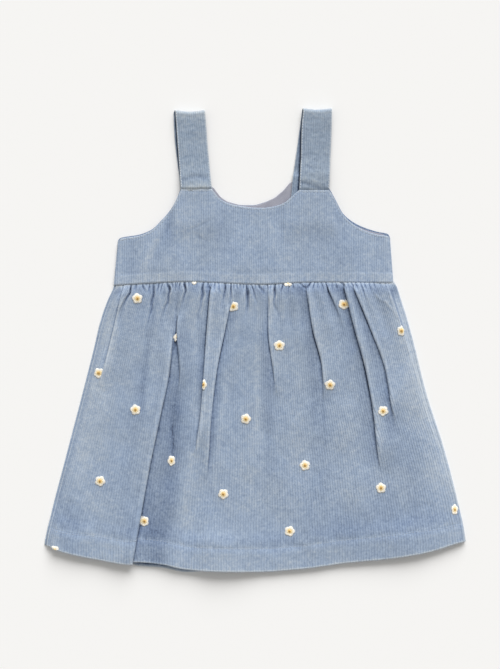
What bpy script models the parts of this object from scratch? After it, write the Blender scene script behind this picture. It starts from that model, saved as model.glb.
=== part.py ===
"""A toddler's corduroy pinafore dress laid flat, front up, with its back on the surface.

Each cloth piece is a wall of real thickness, made from a grid of outer points and the same grid moved in.
The dress lies in the plane Z = 0, its straps towards +Y. Sizes and tables are in millimetres, and a mesh
is written in metres.
"""

import math
from collections import Counter

import bpy
import numpy as np

MM = 0.001

# Driving sizes: cloth, layers and seams.
CORDUROY = 1.2
LINING = 1.0
STRAP = 2.2
HEM_WALL = 2.3
GAP = 0.3
BACK_TOP = CORDUROY
LINING_LOW = BACK_TOP + GAP
LINING_TOP = LINING_LOW + LINING
FRONT_LOW = LINING_TOP + GAP
STRAP_END_LOW = LINING_TOP + GAP
STRAP_END_TOP = STRAP_END_LOW + STRAP
LIFTED_LOW = STRAP_END_TOP + GAP
SKIRT_LOW = BACK_TOP + GAP
HEM_LOW = HEM_WALL + GAP

# The gathered waist: short puckers under the seam, and half as many softer ripples that run further down.
# Each drift is a size, a count across the cloth and a start, and makes the gathers uneven.
GATHERS = 46
SAMPLES_PER_GATHER = 4
PUCKER = {"height": 2.3, "length": 16.0, "full_at": 4.0}
RIPPLE = {"height": 1.3, "length": 46.0, "full_at": 8.0}
PHASE_DRIFTS = ((0.30, 19.0, 1.0), (0.20, 43.0, 0.0))
HEIGHT_DRIFTS = ((0.20, 31.0, 0.6), (0.15, 71.0, 0.0))
LENGTH_DRIFT = (0.40, 53.0, 2.0)
WAIST_LIFT = 0.9
WAIST_LIFT_LENGTH = 30.0

# The skirt lies on air by LOFT, and comes down to its side seams within SIDE_FALL.
LOFT = 1.1
SIDE_FALL = 9.0

# The turned hem. Above its stitching the front skirt steps down to the single cloth below it.
HEM_DEPTH = 22.7
HEM_DEPTH_AT_SIDES = 18.2
HEM_NARROWS_FROM = 150.0
HEM_STEP = 1.8
HEM_CLEARANCE = (2.5, 6.0)

# The bodice's top edge, one table for each curve. The straps' seams are straight between them.
EDGE_COLUMNS = ("x", "front", "back")
ARMHOLE_LEFT = (
    (-132.6, 95.3, 95.9),
    (-130.6, 97.3, 97.9),
    (-112.7, 100.2, 101.0),
    (-100.9, 105.0, 105.6),
    (-91.0, 114.2, 114.7),
    (-81.1, 126.0, 126.5),
    (-75.4, 136.4, 137.2),
    (-71.6, 145.2, 147.4),
)
NECK = (
    (-41.6, 145.4, 147.4),
    (-33.6, 135.9, 137.4),
    (-23.7, 131.0, 132.2),
    (-11.7, 128.6, 129.7),
    (-1.9, 127.5, 129.6),
    (7.8, 127.3, 132.0),
    (18.4, 128.6, 136.5),
    (29.1, 132.6, 145.2),
    (35.6, 138.2, 152.2),
    (42.5, 144.4, 154.6),
)
ARMHOLE_RIGHT = (
    (71.9, 144.2, 146.4),
    (77.9, 134.4, 135.3),
    (85.7, 120.2, 121.2),
    (96.8, 110.2, 112.3),
    (108.0, 104.6, 107.2),
    (119.1, 101.3, 103.8),
    (129.0, 99.9, 101.8),
    (130.6, 98.2, 99.0),
)
SPANS_PER_EDGE = {"armhole": 13, "strap": 4, "neck": 14}
BODICE_STRIPS = {"front": 9, "back": 5, "lining": 4}

# The lining ends short of the bodice's edges, and the front comes down to the back at its side seams.
# The front swells a little between two heights above the waist.
LINING_INSET = {"side": 4.5, "top": 1.6, "waist": 0.8}
SIDE_SEAM_RISE = 3.0
SWELL = {"height": 0.7, "from_side": 30.0, "rises": (56.0, 70.0), "falls": (90.0, 122.0)}
WAIST_END_LEFT = -136.4
WAIST_END_RIGHT = 133.6

# The waist seam is gently waved.
WAIST_COLUMNS = ("x", "y")
WAIST = ((-136.4, 53.9), (-63.1, 56.7), (4.9, 54.3), (58.2, 56.3), (133.6, 56.2))

# How far the side edges of the skirt reach at each height.
SIDE_COLUMNS = ("y", "left", "right")
SIDES = (
    (56.5, -136.3, 133.5),
    (53.8, -136.8, 135.2),
    (38.3, -143.6, 141.0),
    (18.9, -150.4, 147.3),
    (-10.2, -157.3, 154.2),
    (-49.0, -167.0, 164.3),
    (-107.2, -182.4, 182.4),
    (-165.4, -197.1, 197.4),
    (-197.0, -204.0, 204.0),
)

# The hem's lower edge. The front steps up where the large fold ends, and the back shows below it there.
HEM_COLUMNS = ("x", "front", "back")
HEM = (
    (-204.0, -198.9, -198.3),
    (-185.3, -205.6, -205.0),
    (-154.6, -212.0, -211.4),
    (-117.9, -217.2, -217.6),
    (-115.5, -214.7, -218.4),
    (-91.6, -216.6, -220.2),
    (-65.6, -221.9, -224.6),
    (-39.6, -223.4, -223.4),
    (3.9, -224.1, -223.5),
    (43.7, -221.5, -220.9),
    (90.2, -215.4, -214.8),
    (133.9, -211.0, -210.4),
    (168.4, -205.2, -204.6),
    (204.0, -195.0, -194.4),
)

# The large folds. "side" is 1 where the cloth to the right lies on top and -1 where the cloth to the left
# does, "reach" is how far the top cloth takes to come down again, and the last six are x at FOLD_LEVELS.
FOLD_LEVELS = (-215.0, -125.0, -75.0, -30.0, 10.0, 50.0)
FOLD_COLUMNS = ("top", "end", "side", "height", "reach", "hem", "low", "mid_low", "mid", "high", "waist")
FOLDS = (
    (48.0, -52.0, 1, 2.2, 12.0, -192.0, -175.0, -162.0, -148.0, -138.2, -124.5),
    (4.0, -260.0, -1, 4.6, 36.0, -118.2, -102.3, -91.9, -82.8, -79.5, -84.0),
    (38.0, -58.0, 1, 2.6, 14.0, -92.0, -80.5, -79.5, -73.0, -75.9, -76.0),
    (54.0, -118.0, 1, 3.9, 17.0, -72.0, -62.0, -53.0, -49.4, -46.5, -43.0),
    (34.0, -142.0, -1, 2.4, 12.0, -50.0, -45.0, -41.8, -36.4, -28.3, -20.0),
    (55.0, -62.0, 1, 1.7, 10.0, 24.0, 22.0, 21.0, 17.0, 12.2, 12.2),
    (55.0, -64.0, 1, 3.2, 15.0, 76.0, 70.0, 65.6, 65.5, 54.5, 48.5),
    (55.0, 10.0, 1, 1.7, 6.0, 102.0, 96.0, 92.0, 88.0, 84.0, 70.0),
    (56.0, -122.0, 1, 4.1, 16.0, 130.0, 119.5, 114.8, 106.0, 96.0, 85.0),
    (55.0, -66.0, 1, 3.6, 18.0, 160.0, 146.0, 138.0, 126.0, 111.3, 95.0),
    (54.0, -14.0, -1, 1.6, 7.0, 199.0, 183.0, 167.0, 154.0, 141.0, 129.4),
)
FOLD_EDGE = 1.4
FOLD_START = 9.0
FOLD_FADE = 34.0
FOLD_SLOPE_POWER = 1.6
MAIN_FOLD = 1
BESIDE_FOLD = 0.0036
STEEPEST = 2.0

# Softer troughs and swells. Height is below 0 for a trough.
SOFT_COLUMNS = ("x_top", "y_top", "x_end", "y_end", "half_width", "height")
SOFT = (
    (-118.1, 50.5, -130.0, 21.8, 3.0, -1.2),
    (-99.4, 48.0, -112.5, -50.0, 5.0, -1.1),
    (-82.7, 34.8, -95.1, 1.5, 4.0, -0.9),
    (-80.5, -82.0, -80.0, -110.0, 3.0, -0.8),
    (-29.1, 54.0, -31.0, 32.5, 2.6, -1.3),
    (-7.4, 54.0, -6.8, 35.4, 2.6, -1.3),
    (18.4, 45.0, 19.1, 30.0, 2.6, -1.1),
    (-140.0, -30.0, -168.0, -190.0, 20.0, 1.0),
    (0.0, 10.0, -6.0, -190.0, 20.0, 1.2),
    (43.0, 0.0, 50.0, -190.0, 15.0, 1.0),
    (92.0, -70.0, 100.0, -190.0, 15.0, 1.0),
    (-90.0, -208.0, -84.0, -216.0, 18.0, 2.4),
    (-180.0, -190.0, -184.0, -206.0, 20.0, 2.2),
    (140.0, -190.0, 144.0, -208.0, 30.0, 2.0),
    (30.0, -205.0, 34.0, -222.0, 28.0, 1.5),
)
SOFT_FADE = 14.0

# Rows of the skirt, as shares of the way from the waist seam to the hem's stitching, each zone with
# fewer columns than the one above it, and the rows of the hem, as shares of its depth.
GATHER_ROWS = (0.0, 0.012, 0.032, 0.062, 0.1)
FOLD_ROWS = (0.16, 0.23, 0.31, 0.4, 0.49, 0.58, 0.67)
LOW_ROWS = (0.76, 0.86, 0.955, 0.985)
HEM_ROWS = (0.0, 0.08, 0.55, 1.0)
BACK_COLUMNS = 56
BACK_ROWS = (0.0, 0.08, 0.2, 0.36, 0.54, 0.74, 0.9)
BACK_HEM_ROWS = (-0.03, 0.06, 0.5, 1.0)
BACK_HEM_STEP = (-1.2, 0.6)

# The straps, from the end inside the back bodice, round the fold at the shoulder, to the front seam.
# z is the height of the middle of the band.
STRAP_COLUMNS = ("y", "z", "left", "right")
STRAP_LEFT = (
    (124.0, 3.9, -71.4, -42.4),
    (140.0, 3.9, -72.0, -43.0),
    (149.6, 3.9, -72.6, -43.6),
    (153.0, 2.6, -73.0, -44.0),
    (157.5, 1.1, -73.4, -44.4),
    (175.9, 1.1, -75.8, -46.6),
    (199.0, 1.1, -78.2, -48.9),
    (219.2, 1.1, -79.0, -49.8),
    (219.2, 5.6, -77.0, -48.1),
    (205.0, 4.9, -76.0, -47.0),
    (188.0, 4.2, -74.9, -45.8),
    (170.0, 4.1, -73.6, -44.2),
    (159.0, 5.2, -72.8, -43.1),
    (152.0, 6.4, -72.2, -42.3),
    (146.0, 6.4, -71.8, -41.7),
)
STRAP_RIGHT = (
    (120.0, 3.9, 33.6, 62.6),
    (139.0, 3.9, 35.0, 64.0),
    (156.6, 3.9, 36.6, 65.6),
    (160.0, 2.6, 37.0, 66.0),
    (164.5, 1.1, 37.7, 66.7),
    (185.0, 1.1, 40.0, 69.2),
    (205.0, 1.1, 42.9, 72.1),
    (221.2, 1.1, 45.5, 74.5),
    (221.2, 5.6, 46.6, 74.6),
    (207.0, 4.9, 45.9, 74.2),
    (192.0, 4.3, 45.2, 73.6),
    (178.0, 4.2, 44.5, 73.1),
    (166.5, 5.2, 43.8, 72.7),
    (159.0, 6.4, 43.4, 72.4),
    (145.0, 6.4, 42.7, 71.8),
)
STRAP_BEND = 7
BEND_STEPS = 7
STRAP_STEPS = 2
STRAP_DIP = 1.8
DIP_LENGTH = 14.0
STRAP_CHAMFER = 0.5
STRAP_ACROSS = 4

# Where a strap's inner end lifts the front bodice.
LIFTS_COLUMNS = ("left", "right")
LIFTS = ((-75.0, -41.0), (32.0, 73.5))
LIFT_FALL = 11.0
LIFT_FROM = 92.0
LIFT_FULL = 117.0

SHARP_CORNER = math.radians(50.0)
EDGE_SAMPLES = 200
COLOURS = {
    "bodice": (0.314, 0.386, 0.497),
    "skirt": (0.314, 0.386, 0.492),
    "strap": (0.296, 0.366, 0.462),
    "lining": (0.376, 0.392, 0.474),
}


def table(columns, rows):
    """One array for each named column."""
    return dict(zip(columns, np.array(rows, float).T))


def ramp(value, low, high):
    """0 up to low and 1 from high, smooth between them."""
    t = np.clip((value - low) / (high - low), 0.0, 1.0)
    return t * t * (3.0 - 2.0 * t)


def curve(at, xs, ys):
    """A cubic through the points that is level at each high or low one, so that it never swings past them."""
    step = np.diff(xs)
    rise = np.diff(ys) / step
    slope = np.concatenate([rise[:1], np.zeros(len(xs) - 2), rise[-1:]])
    before = rise[:-1]
    after = rise[1:]
    same = before * after > 0.0
    slope[1:-1][same] = 2.0 * before[same] * after[same] / (before[same] + after[same])
    i = np.clip(np.searchsorted(xs, at) - 1, 0, len(step) - 1)
    t = np.clip((at - xs[i]) / step[i], 0.0, 1.0)
    start = ys[i] * (1.0 + 2.0 * t) + slope[i] * step[i] * t
    end = ys[i + 1] * (3.0 - 2.0 * t) - slope[i + 1] * step[i] * (1.0 - t)
    return start * (1.0 - t) ** 2 + end * t**2


def clear_scene():
    for old in list(bpy.data.objects):
        bpy.data.objects.remove(old, do_unlink=True)


def cloth_material(name, colour, roughness=0.9):
    material = bpy.data.materials.new(name)
    material.use_nodes = True
    shader = material.node_tree.nodes["Principled BSDF"]
    shader.inputs["Base Color"].default_value = (*colour, 1.0)
    shader.inputs["Roughness"].default_value = roughness
    shader.inputs["Metallic"].default_value = 0.0
    return material


def add_mesh(name, points, faces, material):
    """A mesh object from points in millimetres."""
    mesh = bpy.data.meshes.new(name)
    mesh.from_pydata((np.asarray(points) * MM).tolist(), [], faces)
    mesh.materials.append(material)
    mesh.update()
    piece = bpy.data.objects.new(name, mesh)
    bpy.context.scene.collection.objects.link(piece)
    mesh.shade_smooth()
    mesh.set_sharp_from_angle(angle=SHARP_CORNER)
    return piece


def grid_faces(rows):
    """Faces between rows of point numbers, the lowest row last. A lower row may leave columns out.

    Each row is a dictionary from a column's number to its point's number.
    """
    faces = []
    for upper, lower in zip(rows, rows[1:]):
        kept = sorted(lower)
        for first, last in zip(kept, kept[1:]):
            above = [upper[c] for c in range(last, first - 1, -1) if c in upper]
            faces.append([lower[first], lower[last], *above])
    return faces


def add_wall(name, top, bottom, faces, material):
    """A closed wall from its outer points, its inner points and the outer faces."""
    count = len(top)
    uses = Counter()
    ends = {}
    for face in faces:
        for a, b in zip(face, face[1:] + face[:1]):
            uses[frozenset((a, b))] += 1
            ends[frozenset((a, b))] = (a, b)
    inner = [[point + count for point in reversed(face)] for face in faces]
    rim = [[b, a, a + count, b + count] for edge, (a, b) in ends.items() if uses[edge] == 1]
    return add_mesh(name, np.concatenate([top, bottom]), faces + inner + rim, material)


def full_rows(row_count, column_count):
    return [{c: r * column_count + c for c in range(column_count)} for r in range(row_count)]


def bodice_edge(x, which):
    """Height of the bodice's top edge above each x."""
    left, neck, right = (table(EDGE_COLUMNS, rows) for rows in (ARMHOLE_LEFT, NECK, ARMHOLE_RIGHT))
    seams_x = [left["x"][-1], neck["x"][0], neck["x"][-1], right["x"][0]]
    seams_y = [left[which][-1], neck[which][0], neck[which][-1], right[which][0]]
    on_seams = np.interp(x, seams_x, seams_y)
    return np.select(
        [x <= seams_x[0], (x >= seams_x[1]) & (x <= seams_x[2]), x >= seams_x[3]],
        [curve(x, edge["x"], edge[which]) for edge in (left, neck, right)],
        on_seams,
    )


def bodice_columns():
    """Column places along x, even along the front's top edge between its corners."""
    corners = [ARMHOLE_LEFT[0][0], ARMHOLE_LEFT[-1][0], NECK[0][0], NECK[-1][0]]
    corners += [ARMHOLE_RIGHT[0][0], ARMHOLE_RIGHT[-1][0]]
    kinds = ("armhole", "strap", "neck", "strap", "armhole")
    places = [np.array(corners[:1])]
    for start, end, kind in zip(corners, corners[1:], kinds):
        fine = np.linspace(start, end, EDGE_SAMPLES)
        steps = np.hypot(np.diff(fine), np.diff(bodice_edge(fine, "front")))
        along = np.concatenate([[0.0], np.cumsum(steps)])
        wanted = np.linspace(0.0, along[-1], SPANS_PER_EDGE[kind] + 1)
        places.append(np.interp(wanted, along, fine)[1:])
    return np.concatenate(places)


def waist_height(x):
    waist = table(WAIST_COLUMNS, WAIST)
    return curve(x, waist["x"], waist["y"])


def bodice_grid(which, strips, side=0.0, top=0.0, waist=GAP / 2.0):
    """Plan places of a bodice panel, as arrays of x and y with a row for each height.

    side, top and waist are how far its edges lie inside the bodice's own.
    """
    top_x = bodice_columns()
    share = (top_x - top_x[0]) / (top_x[-1] - top_x[0])
    low_x = WAIST_END_LEFT + share * (WAIST_END_RIGHT - WAIST_END_LEFT)
    inward = side * (1.0 - 2.0 * share)
    top_y = bodice_edge(top_x, which) - top
    low_y = waist_height(low_x) + waist
    down = np.linspace(0.0, 1.0, strips + 1)[:, None]
    x = (top_x + inward) * (1.0 - down) + (low_x + inward) * down
    y = top_y * (1.0 - down) + low_y * down
    return x, y


def panel(name, x, y, low, high, material):
    """A wall from plan places and the heights of its lower and upper faces."""
    rows = full_rows(*x.shape)
    top = np.stack([x, y, high], axis=-1).reshape(-1, 3)
    bottom = np.stack([x, y, low], axis=-1).reshape(-1, 3)
    return add_wall(name, top, bottom, grid_faces(rows), material)


def strap_lift(x, y):
    """How far the straps' inner ends raise the front bodice."""
    lifts = table(LIFTS_COLUMNS, LIFTS)
    lift = np.zeros_like(x)
    for left, right in zip(lifts["left"], lifts["right"]):
        across = ramp(x, left - LIFT_FALL, left) * (1.0 - ramp(x, right, right + LIFT_FALL))
        lift = np.maximum(lift, across * ramp(y, LIFT_FROM, LIFT_FULL))
    return lift * (LIFTED_LOW - FRONT_LOW)


def build_bodice():
    cloth = cloth_material("bodice corduroy", COLOURS["bodice"])
    x, y = bodice_grid("back", BODICE_STRIPS["back"])
    panel("bodice_back", x, y, np.zeros_like(x), np.full_like(x, BACK_TOP), cloth)

    x, y = bodice_grid("back", BODICE_STRIPS["lining"], **LINING_INSET)
    lining = cloth_material("lining cloth", COLOURS["lining"], roughness=0.8)
    panel("lining_back", x, y, np.full_like(x, LINING_LOW), np.full_like(x, LINING_TOP), lining)

    x, y = bodice_grid("front", BODICE_STRIPS["front"])
    from_side = np.minimum(x - x[:, :1], x[:, -1:] - x)
    over_lining = ramp(from_side, 0.0, SIDE_SEAM_RISE)
    swell = SWELL["height"] * ramp(from_side, 0.0, SWELL["from_side"])
    swell = swell * ramp(y, *SWELL["rises"]) * (1.0 - ramp(y, *SWELL["falls"]))
    low = SKIRT_LOW + over_lining * (FRONT_LOW - SKIRT_LOW) + strap_lift(x, y) + swell
    panel("bodice_front", x, y, low, low + CORDUROY, cloth)


def strap_stations(rows):
    """Places along a strap's middle line, with the half circle at the shoulder put in."""
    stations = table(STRAP_COLUMNS, rows)
    values = np.stack([stations[name] for name in STRAP_COLUMNS], axis=1)
    legs = []
    for leg in (values[: STRAP_BEND + 1], values[STRAP_BEND + 1 :]):
        spans = len(leg) - 1
        at = np.linspace(0.0, spans, spans * STRAP_STEPS + 1)
        known = np.arange(spans + 1.0)
        legs.append(np.stack([curve(at, known, column) for column in leg.T], axis=1))
    start, end = legs[0][-1], legs[1][0]
    radius = (end[1] - start[1]) / 2.0
    turn = np.linspace(0.0, math.pi, BEND_STEPS + 1)[1:-1, None]
    share = (1.0 - np.cos(turn)) / 2.0
    bend = start * (1.0 - share) + end * share
    bend[:, :1] = start[0] + radius * np.sin(turn)
    return np.concatenate([legs[0], bend, legs[1]])


def build_strap(name, rows, material):
    """A band of two layers of cloth along its stations, with chamfered edges."""
    stations = strap_stations(rows)
    y, z, left, right = stations.T
    along = np.stack([np.gradient(y), np.gradient(z)], axis=1)
    along /= np.linalg.norm(along, axis=1)[:, None]
    across = np.linspace(0.0, 1.0, STRAP_ACROSS + 1)
    fold_line = max(y)
    half = STRAP / 2.0

    # One ring, as shares of the width and of half the thickness, with the chamfers' insets.
    share = np.concatenate([across, [1.0], across[::-1], [0.0]])
    inset = np.concatenate([[1.0], np.zeros(STRAP_ACROSS - 1), [-1.0, 0.0, -1.0]])
    inset = np.concatenate([inset, np.zeros(STRAP_ACROSS - 1), [1.0, 0.0]])
    side = np.concatenate([np.ones(STRAP_ACROSS + 1), [0.0], -np.ones(STRAP_ACROSS + 1), [0.0]])
    x = left[:, None] + (right - left)[:, None] * share + STRAP_CHAMFER * inset
    dip = STRAP_DIP * (1.0 - (2.0 * share - 1.0) ** 2)
    dip = dip * ramp(y, fold_line - DIP_LENGTH, fold_line)[:, None]
    ring_y = y[:, None] - dip - half * side * along[:, 1:]
    ring_z = z[:, None] + half * side * along[:, :1]
    points = np.stack([x, ring_y, ring_z], axis=-1)
    count, size = share.size, len(stations)
    number = np.arange(size * count).reshape(size, count)
    following = np.roll(number, -1, axis=1)
    quads = np.stack([number[:-1], following[:-1], following[1:], number[1:]], axis=-1)
    faces = quads.reshape(-1, 4).tolist()
    faces += [number[0, ::-1].tolist(), number[-1].tolist()]
    return add_mesh(name, points.reshape(-1, 3), faces, material)


def fold_paths(y):
    """Where each large fold lies at each y, as a list of arrays shaped as y."""
    folds = table(FOLD_COLUMNS, FOLDS)
    levels = np.array(FOLD_LEVELS)
    by_level = np.stack([folds[name] for name in FOLD_COLUMNS[5:]], axis=1)
    return [curve(y, levels, xs) for xs in by_level]


def skirt_sides(y):
    sides = table(SIDE_COLUMNS, SIDES)
    rising = sides["y"][::-1]
    return curve(y, rising, sides["left"][::-1]), curve(y, rising, sides["right"][::-1])


def fold_shares(y):
    """Each fold's place at each y as a share of the skirt's width there, with both sides."""
    left, right = skirt_sides(y)
    shares = [(x - left) / (right - left) for x in fold_paths(y)]
    return [np.zeros_like(left), *shares, np.ones_like(left)]


def home_shares():
    """One share of the cloth's width for each fold, the mean of its places."""
    return np.array([share.mean() for share in fold_shares(np.array(FOLD_LEVELS))])


def skirt_columns():
    """Columns across the cloth, a few for each gather, with one close to each side of every fold."""
    count = GATHERS * SAMPLES_PER_GATHER
    columns = np.linspace(0.0, 1.0, count + 1)
    beside = set()
    for home in home_shares()[1:-1]:
        before = int(home * count)
        columns[before] = home - BESIDE_FOLD
        columns[before + 1] = home + BESIDE_FOLD
        beside |= {before, before + 1}
    return columns, beside


def hem_height(x, which):
    hem = table(HEM_COLUMNS, HEM)
    return np.interp(x, hem["x"], hem[which])


def hem_depth(x):
    at_side = ramp(np.abs(x), HEM_NARROWS_FROM, HEM[-1][0])
    return HEM_DEPTH + (HEM_DEPTH_AT_SIDES - HEM_DEPTH) * at_side


def skirt_plan(columns, rows, hem_rows, which):
    """Plan places of a skirt panel: the columns follow the folds, and the rows the seam and the hem."""
    shares = home_shares()
    before = np.clip(np.searchsorted(shares, columns, side="right") - 1, 0, len(shares) - 2)
    part = (columns - shares[before]) / (shares[before + 1] - shares[before])

    def x_at(y):
        left, right = skirt_sides(y)
        known = np.stack(fold_shares(y))
        picked = np.take_along_axis(known, np.broadcast_to(before, y.shape)[None], axis=0)[0]
        after = np.take_along_axis(known, np.broadcast_to(before + 1, y.shape)[None], axis=0)[0]
        return left + (right - left) * (picked * (1.0 - part) + after * part)

    waist_x = x_at(np.full((1, len(columns)), waist_height(0.0)))
    hem_x = x_at(np.full((1, len(columns)), FOLD_LEVELS[0]))
    waist_y = waist_height(waist_x) - GAP / 2.0
    hem_y = hem_height(hem_x, which)
    stitch_y = hem_y + hem_depth(hem_x)
    upper = waist_y + (stitch_y - waist_y) * np.array(rows)[:, None]
    lower = stitch_y + (hem_y - stitch_y) * np.array(hem_rows)[:, None]
    y = np.concatenate([upper, lower])
    return x_at(y), y, np.broadcast_to(stitch_y, y.shape)


def drift(columns, *drifts):
    """A slow wander along the columns, the sum of a sine for each drift."""
    return sum(size * np.sin(count * columns + start) for size, count, start in drifts)


def gather_wave(columns, below, kind, count):
    """Waves across the cloth that start at the waist seam and die out further down."""
    phase = count * columns + drift(columns, *PHASE_DRIFTS)
    wave = 0.5 + 0.5 * np.cos(2.0 * math.pi * phase)
    uneven = 1.0 + drift(columns, *HEIGHT_DRIFTS)
    length = kind["length"] * (1.0 + drift(columns, LENGTH_DRIFT))
    starts = ramp(below, -kind["full_at"], kind["full_at"])
    ends = ramp(below, kind["full_at"], 2.0 * length)
    return kind["height"] * uneven * wave * starts * (1.0 - ends)


def large_folds(x, y):
    """The large folds: a steep edge on one side of the path and a long slope down on the other."""
    folds = table(FOLD_COLUMNS, FOLDS)
    height = np.zeros_like(x)
    for i, path in enumerate(fold_paths(y)):
        over = folds["side"][i] * (x - path)
        edge = ramp(over, -FOLD_EDGE, FOLD_EDGE)
        slope = np.exp(-((np.maximum(over, 0.0) / folds["reach"][i]) ** FOLD_SLOPE_POWER))
        length = ramp(-y, -folds["top"][i], FOLD_START - folds["top"][i])
        length = length * ramp(y, folds["end"][i], folds["end"][i] + FOLD_FADE)
        height = height + folds["height"][i] * edge * slope * length
    return height


def soft_folds(x, y):
    """Soft troughs and swells, each a rounded line between two points."""
    soft = table(SOFT_COLUMNS, SOFT)
    height = np.zeros_like(x)
    for row in zip(*(soft[name] for name in SOFT_COLUMNS)):
        x_top, y_top, x_end, y_end, half_width, rise = row
        share = np.clip((y_top - y) / (y_top - y_end), 0.0, 1.0)
        away = (x - x_top - share * (x_end - x_top)) / half_width
        past = np.maximum(np.maximum(y - y_top, y_end - y), 0.0) / SOFT_FADE
        height = height + rise * np.exp(-(away**2) - past**2)
    return height


def front_skirt_heights(columns, x, y, stitch):
    """Heights of the front skirt's lower and upper faces."""
    left, right = skirt_sides(y)
    inside = ramp(np.minimum(x - left, right - x), 0.0, SIDE_FALL)
    below = waist_height(x) - y
    relief = LOFT + large_folds(x, y) + soft_folds(x, y)
    waves = gather_wave(columns, below, PUCKER, GATHERS)
    waves = waves + gather_wave(columns, below, RIPPLE, GATHERS / 2.0)
    crowding = np.gradient(x, axis=1) / np.gradient(columns) / (right - left)
    relief = np.maximum(relief + waves * np.minimum(crowding, 1.0), 0.0) * inside
    over_hem = 1.0 - ramp(y, stitch + HEM_CLEARANCE[0], stitch + HEM_CLEARANCE[1])
    low = SKIRT_LOW + (HEM_LOW - SKIRT_LOW) * over_hem
    low = low + WAIST_LIFT * (1.0 - ramp(below, 0.0, WAIST_LIFT_LENGTH)) * inside
    thick = CORDUROY + (HEM_WALL - CORDUROY) * (1.0 - ramp(y, stitch - HEM_STEP, stitch))
    high = low + thick + relief

    # The wall is as thick across its slopes as on the flat.
    slope_x = np.gradient(high, axis=1) / np.gradient(x, axis=1)
    upright = np.minimum(np.sqrt(1.0 + slope_x**2), STEEPEST) * thick
    return np.maximum(low, high - upright), high


def thinned_rows(column_count, beside, large_fold):
    """Which columns each zone of the front skirt keeps."""
    full = set(range(column_count))
    half = {c for c in full if c % 2 == 0} | beside
    quarter = {c for c in full if c % 4 == 0} | large_fold
    ends = {0, column_count - 1}
    return full, half | ends, (quarter & half) | ends


def build_skirt():
    cloth = cloth_material("skirt corduroy", COLOURS["skirt"])
    columns, beside = skirt_columns()
    main_fold = int(home_shares()[MAIN_FOLD + 1] * (len(columns) - 1))
    full, half, quarter = thinned_rows(len(columns), beside, {main_fold, main_fold + 1})
    x, y, stitch = skirt_plan(columns, GATHER_ROWS + FOLD_ROWS + LOW_ROWS, HEM_ROWS, "front")
    low, high = front_skirt_heights(columns, x, y, stitch)
    kept_by_row = [full] * len(GATHER_ROWS) + [half] * len(FOLD_ROWS)
    kept_by_row += [quarter] * (len(LOW_ROWS) + len(HEM_ROWS))
    rows = []
    picked = []
    for r, kept in enumerate(kept_by_row):
        start = len(picked)
        rows.append({c: start + n for n, c in enumerate(sorted(kept))})
        picked += [(r, c) for c in sorted(kept)]
    r, c = np.array(picked).T
    top = np.stack([x[r, c], y[r, c], high[r, c]], axis=1)
    bottom = np.stack([x[r, c], y[r, c], low[r, c]], axis=1)
    add_wall("skirt_front", top, bottom, grid_faces(rows), cloth)

    columns = np.linspace(0.0, 1.0, BACK_COLUMNS + 1)
    x, y, stitch = skirt_plan(columns, BACK_ROWS, BACK_HEM_ROWS, "back")
    doubled = 1.0 - ramp(y, stitch + BACK_HEM_STEP[0], stitch + BACK_HEM_STEP[1])
    high = BACK_TOP + (HEM_WALL - BACK_TOP) * doubled
    panel("skirt_back", x, y, np.zeros_like(x), high, cloth)


def main():
    clear_scene()
    build_bodice()
    strap_cloth = cloth_material("strap corduroy", COLOURS["strap"])
    build_strap("strap_left", STRAP_LEFT, strap_cloth)
    build_strap("strap_right", STRAP_RIGHT, strap_cloth)
    build_skirt()


main()
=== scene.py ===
import math

import bpy
import numpy as np
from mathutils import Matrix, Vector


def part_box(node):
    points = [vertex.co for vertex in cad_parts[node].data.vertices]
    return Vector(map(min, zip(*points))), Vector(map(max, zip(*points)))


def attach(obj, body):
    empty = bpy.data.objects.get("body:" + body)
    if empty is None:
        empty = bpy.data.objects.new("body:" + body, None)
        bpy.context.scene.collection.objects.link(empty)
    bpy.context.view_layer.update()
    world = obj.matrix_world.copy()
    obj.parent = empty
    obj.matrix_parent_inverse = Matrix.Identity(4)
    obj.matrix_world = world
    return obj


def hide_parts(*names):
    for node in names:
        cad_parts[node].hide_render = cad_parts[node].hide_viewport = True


# A toddler's corduroy pinafore dress, laid flat with its front up and its straps towards +Y.
# Each piece is a surface worked out on a grid, with the wales of the corduroy running down it.
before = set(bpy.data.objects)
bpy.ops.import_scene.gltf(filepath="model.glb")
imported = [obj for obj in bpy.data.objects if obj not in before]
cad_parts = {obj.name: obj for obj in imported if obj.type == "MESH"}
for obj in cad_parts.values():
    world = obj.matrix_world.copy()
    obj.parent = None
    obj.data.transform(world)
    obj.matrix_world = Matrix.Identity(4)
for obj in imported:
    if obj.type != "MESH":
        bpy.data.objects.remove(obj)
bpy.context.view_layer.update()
print("frame loaded:", len(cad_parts), "nodes")

mm = 0.001  # lengths are in millimetres here, and a mesh is written in metres


# Plain shapes that the pieces share.

def ramp(value, low, high):
    # 0 up to low, 1 from high, and 3t² - 2t³ of the way between them
    t = np.clip((value - low) / (high - low), 0.0, 1.0)
    return t * t * (3.0 - 2.0 * t)


def hump(away, width):
    # a bell: e to the minus square of the distance, counted in widths
    return np.exp(-((away / width) ** 2))


def unit(vectors):
    # the same directions, each with a length of 1
    return vectors / np.maximum(np.linalg.norm(vectors, axis=-1, keepdims=True), 1e-9)


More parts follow.
